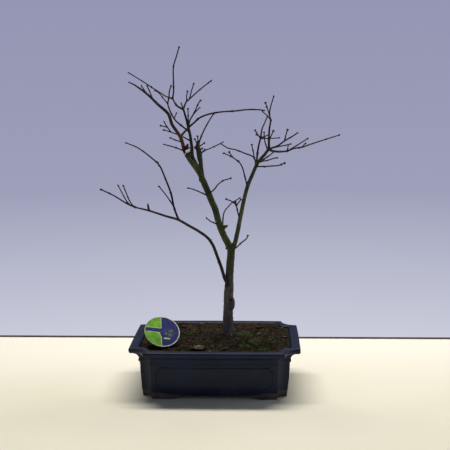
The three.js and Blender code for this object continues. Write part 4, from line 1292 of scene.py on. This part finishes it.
# A low ragged mat that follows the compost, thickest in the middle, with fine shoots on it
def makeMoss(name, x, y, length, width, height, turn, seed, material):
    rng = random.Random(seed)
    bm = bmesh.new()
    bmesh.ops.create_icosphere(bm, subdivisions=4, radius=1)
    place = laidAt(x, y, turn)
    for v in bm.verts:
        ragged = 1 + 0.32 * noise.noise(Vector((v.co.x * 1.7, v.co.y * 1.7, seed * 3.1)))
        spot = place @ Vector((v.co.x * length / 2 * ragged, v.co.y * width / 2 * ragged, 0))
        local = (spot - at(0, 0, 0)) / mm
        ground = soilSurface(local.x, local.y)
        lump = cover["mossLump"] * noise.noise(local / 2.6) + 0.7 * noise.noise(local / 1.1)
        rise = height * 0.5 * v.co.z + lump * max(v.co.z, 0) - 0.6
        v.co = at(local.x, local.y, ground + rise)
    blade = bmesh.new()
    bmesh.ops.create_cone(blade, cap_ends=True, segments=4, radius1=0.26, radius2=0.05, depth=1)
    bmesh.ops.translate(blade, vec=(0, 0, 0.4), verts=blade.verts)
    blade = meshOf(blade)
    tufts = bmesh.new()
    for v in bm.verts:
        if v.normal.z < -0.2:
            continue
        for _ in range(2):
            if rng.random() > cover["strandChance"]:
                continue
            aside, back = rng.uniform(-0.7, 0.7), rng.uniform(-0.7, 0.7)
            lean = Matrix.Rotation(aside, 4, "X") @ Matrix.Rotation(back, 4, "Y")
            grow = Matrix.Diagonal((mm, mm, rng.uniform(0.9, 2.1) * mm, 1))
            addCopy(tufts, blade, Matrix.Translation(v.co) @ lean @ grow, rng.random())
    tint = bm.verts.layers.float.new("tint")
    for v in bm.verts:
        v[tint] = cover["strandTint"]
    bm.from_mesh(meshOf(tufts))
    standsFor(fromBmesh(name.replace("pad", "mat"), bm, material), "moss", name)


# Single sprigs of moss round the mats and across the compost
def makeMossSprigs(material):
    rng = random.Random(31)
    sprig = bmesh.new()
    for i in range(cover["sprigShoots"]):
        angle = 2 * math.pi * i / cover["sprigShoots"]
        lean = Matrix.Rotation(angle, 4, "Z") @ Matrix.Rotation(0.7, 4, "X")
        bmesh.ops.create_cone(sprig, cap_ends=True, segments=4, radius1=0.42, radius2=0.1, depth=1.5,
                              matrix=lean @ Matrix.Translation((0, 0, 0.7)))
    sprig = meshOf(sprig)
    places = []
    for x, y, length, width, _, turn in mossPads:
        for _ in range(cover["sprigsByPad"]):
            angle, reach = rng.uniform(0, 2 * math.pi), rng.uniform(0.35, 0.85)
            spot = Vector((math.cos(angle) * length * reach, math.sin(angle) * width * reach))
            spot.rotate(Matrix.Rotation(math.radians(turn), 2))
            places.append((x + spot.x, y + spot.y))
    places += [scattered(rng, *cover["sprigReach"]) for _ in range(cover["sprigsApart"])]
    bm = bmesh.new()
    for x, y in places:
        size, spin, shade = rng.uniform(0.6, 1.2), rng.uniform(0, 6.3), rng.random()
        if not insideWall(x, y, 3) or nearTrunk(x, y, 10):
            continue
        move = Matrix.Translation(at(x, y, soilSurface(x, y) - 0.1)) @ Matrix.Rotation(spin, 4, "Z")
        addCopy(bm, sprig, move @ Matrix.Scale(size * mm, 4), shade)
    standsFor(fromBmesh("moss_sprigs", bm, material, smooth=False), "moss")


def mossMaterial():
    kit = Surface("moss_shoots")
    patch = kit.noise(150, 4, 0.65)
    tone = kit.ramp(patch, (0.34, 18, 20, 10), (0.45, 33, 37, 17), (0.56, 50, 58, 26), (0.66, 46, 38, 25))
    tips = kit.rescale(kit.attribute("tint"), 0.55, 1, 0, 0.6)
    return kit.finish(kit.mix(tips, tone, srgb(74, 88, 42)), 0.9, kit.noise(700, 4, 0.7), 0.7, 0.0005)


def makePebble(name, x, y, radius, seed, material):
    bm = bmesh.new()
    bmesh.ops.create_icosphere(bm, subdivisions=cover["stoneSteps"], radius=radius)
    for v in bm.verts:
        v.co *= 1 + 0.3 * noise.noise(v.co / radius * 0.9 + Vector((seed * 5, 0, 0)))
        v.co += v.co.normalized() * 0.12 * noise.noise(v.co * 1.9)
    bmesh.ops.scale(bm, vec=(1.3, 1, 0.8), verts=bm.verts)
    bmesh.ops.translate(bm, vec=(0, 0, soilHeight(x, y) + radius * 0.4), verts=bm.verts)
    bmesh.ops.transform(bm, matrix=laidAt(x, y, 50 * seed), verts=bm.verts)
    standsFor(fromBmesh(name, bm, material), "stone", name)


def stoneMaterial():
    kit = Surface("pebble")
    grain = kit.noise(350, 5, 0.7)
    tone = kit.ramp(grain, (0.3, 58, 54, 48), (0.55, 84, 80, 70), (0.75, 116, 108, 92))
    soiled = kit.rescale(kit.noise(120, 3, 0.6), 0.45, 0.65, 0, 0.7)
    return kit.finish(kit.mix(soiled, tone, srgb(48, 41, 33)), 0.8, grain, 0.4, 0.0004)


# A flake of bark: a short split log with layered, broken faces
def makeChip(name, x, y, length, turn, seed, material):
    bm = bmesh.new()
    bmesh.ops.create_cube(bm, size=1)
    bmesh.ops.scale(bm, vec=(length, cover["chipWidth"], cover["chipThickness"]), verts=bm.verts)
    bmesh.ops.subdivide_edges(bm, edges=bm.edges[:], cuts=6, use_grid_fill=True)
    for v in bm.verts:
        narrow = 1 - 0.35 * (2 * v.co.x / length) ** 2
        v.co.y *= narrow
        v.co.z *= narrow
        layers = noise.noise(Vector((v.co.x * 0.25, v.co.y * 1.1, v.co.z * 1.6 + seed * 7)))
        v.co += Vector((0.5, 0.5, 0.9)) * layers
    bmesh.ops.translate(bm, vec=(0, 0, soilHeight(x, y) + 1.2), verts=bm.verts)
    bmesh.ops.transform(bm, matrix=laidAt(x, y, turn), verts=bm.verts)
    standsFor(fromBmesh(name, bm, material, smooth=False), "bark_chip", name)


def chipMaterial():
    kit = Surface("bark_flakes")
    grain = kit.noise(300, 5, 0.7, (0.5, 1, 1))
    tone = kit.ramp(grain, (0.3, 36, 26, 20), (0.5, 62, 43, 31), (0.72, 94, 68, 49))
    return kit.finish(tone, 0.88, grain, 0.7, 0.0006)


# A fallen leaf: a thin blade with a sunken midrib, curled at its edges and tip
def makeLeaf(name, slot, x, y, turn, length, width, curl, crumple, tones):
    bm = bmesh.new()
    bmesh.ops.create_grid(bm, x_segments=26, y_segments=12, size=0.5)
    for v in bm.verts:
        along, across = v.co.x, v.co.y * 2
        outline = 0.06 + 0.94 * math.cos(math.pi * along) ** 0.8 if abs(along) < 0.499 else 0.06
        teeth = 1 + 0.07 * math.sin(along * 75) * abs(across)
        rib = -0.5 * math.exp(-(across / 0.12) ** 2)
        veins = 0.16 * math.sin((along * 34) - abs(across) * 5)
        flutter = crumple * noise.noise(Vector((along * 5, across * 2, length)))
        z = curl * (across ** 2 + (2 * along) ** 2 * 0.35) + rib + veins + flutter + 0.8
        v.co = Vector((along * length, v.co.y * width * outline * teeth, z + soilHeight(x, y)))
    bmesh.ops.transform(bm, matrix=laidAt(x, y, turn), verts=bm.verts)
    obj = fromBmesh(name, bm, leafMaterial(name, tones))
    thick = obj.modifiers.new("thickness", "SOLIDIFY")
    thick.thickness = cover["leafThickness"] * mm
    standsFor(applyModifiers(obj), slot, name)


def leafMaterial(name, tones):
    kit = Surface(name)
    cells = kit.noise(130, 5, 0.65)
    tone = kit.ramp(cells, (0.36, *tones[0]), (0.5, *tones[1]), (0.62, *tones[2]))
    return kit.finish(tone, 0.7, cells, 0.35, 0.0003)


def makeGroundCover():
    moss, stone, flakes = mossMaterial(), stoneMaterial(), chipMaterial()
    for i, pad in enumerate(mossPads):
        makeMoss(f"moss_pad_{i + 1}", *pad, seed=i + 1, material=moss)
    makeMossSprigs(moss)
    for i, pebble in enumerate(pebbles):
        makePebble(f"pebble_{i + 1}", *pebble, seed=i, material=stone)
    for i, chip in enumerate(barkChips):
        makeChip(f"bark_chip_{i + 1}", *chip, seed=i, material=flakes)
    for name, leaf in leaves.items():
        makeLeaf(name, *leaf)


makeGroundCover()
print("ground cover made")


def wireMaterial():
    kit = Surface("wire_metal")
    wear = kit.noise(300, 4, 0.6)
    tone = kit.ramp(wear, (0.35, 120, 66, 40), (0.6, 176, 104, 66), (0.8, 96, 84, 62))
    kit.shader["Metallic"].default_value = 0.9
    return kit.finish(tone, kit.rescale(wear, 0.3, 0.7, 0.3, 0.55))


def meshMaterial():
    kit = Surface("mesh_plastic")
    dust = kit.noise(200, 4, 0.6)
    tone = kit.ramp(dust, (0.4, 28, 28, 28), (0.7, 58, 52, 44))
    return kit.finish(tone, 0.6, dust, 0.2, 0.0003)


# The drainage mesh and its clip keep the CAD shapes and get their own finish
def finishDrainage():
    for kind, material in (("drainage_mesh", meshMaterial()), ("mesh_wire", wireMaterial())):
        for side in ("left", "right"):
            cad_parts[f"{kind}_{side}"].material_slots[0].material = material


finishDrainage()
print("drainage mesh and clips finished")
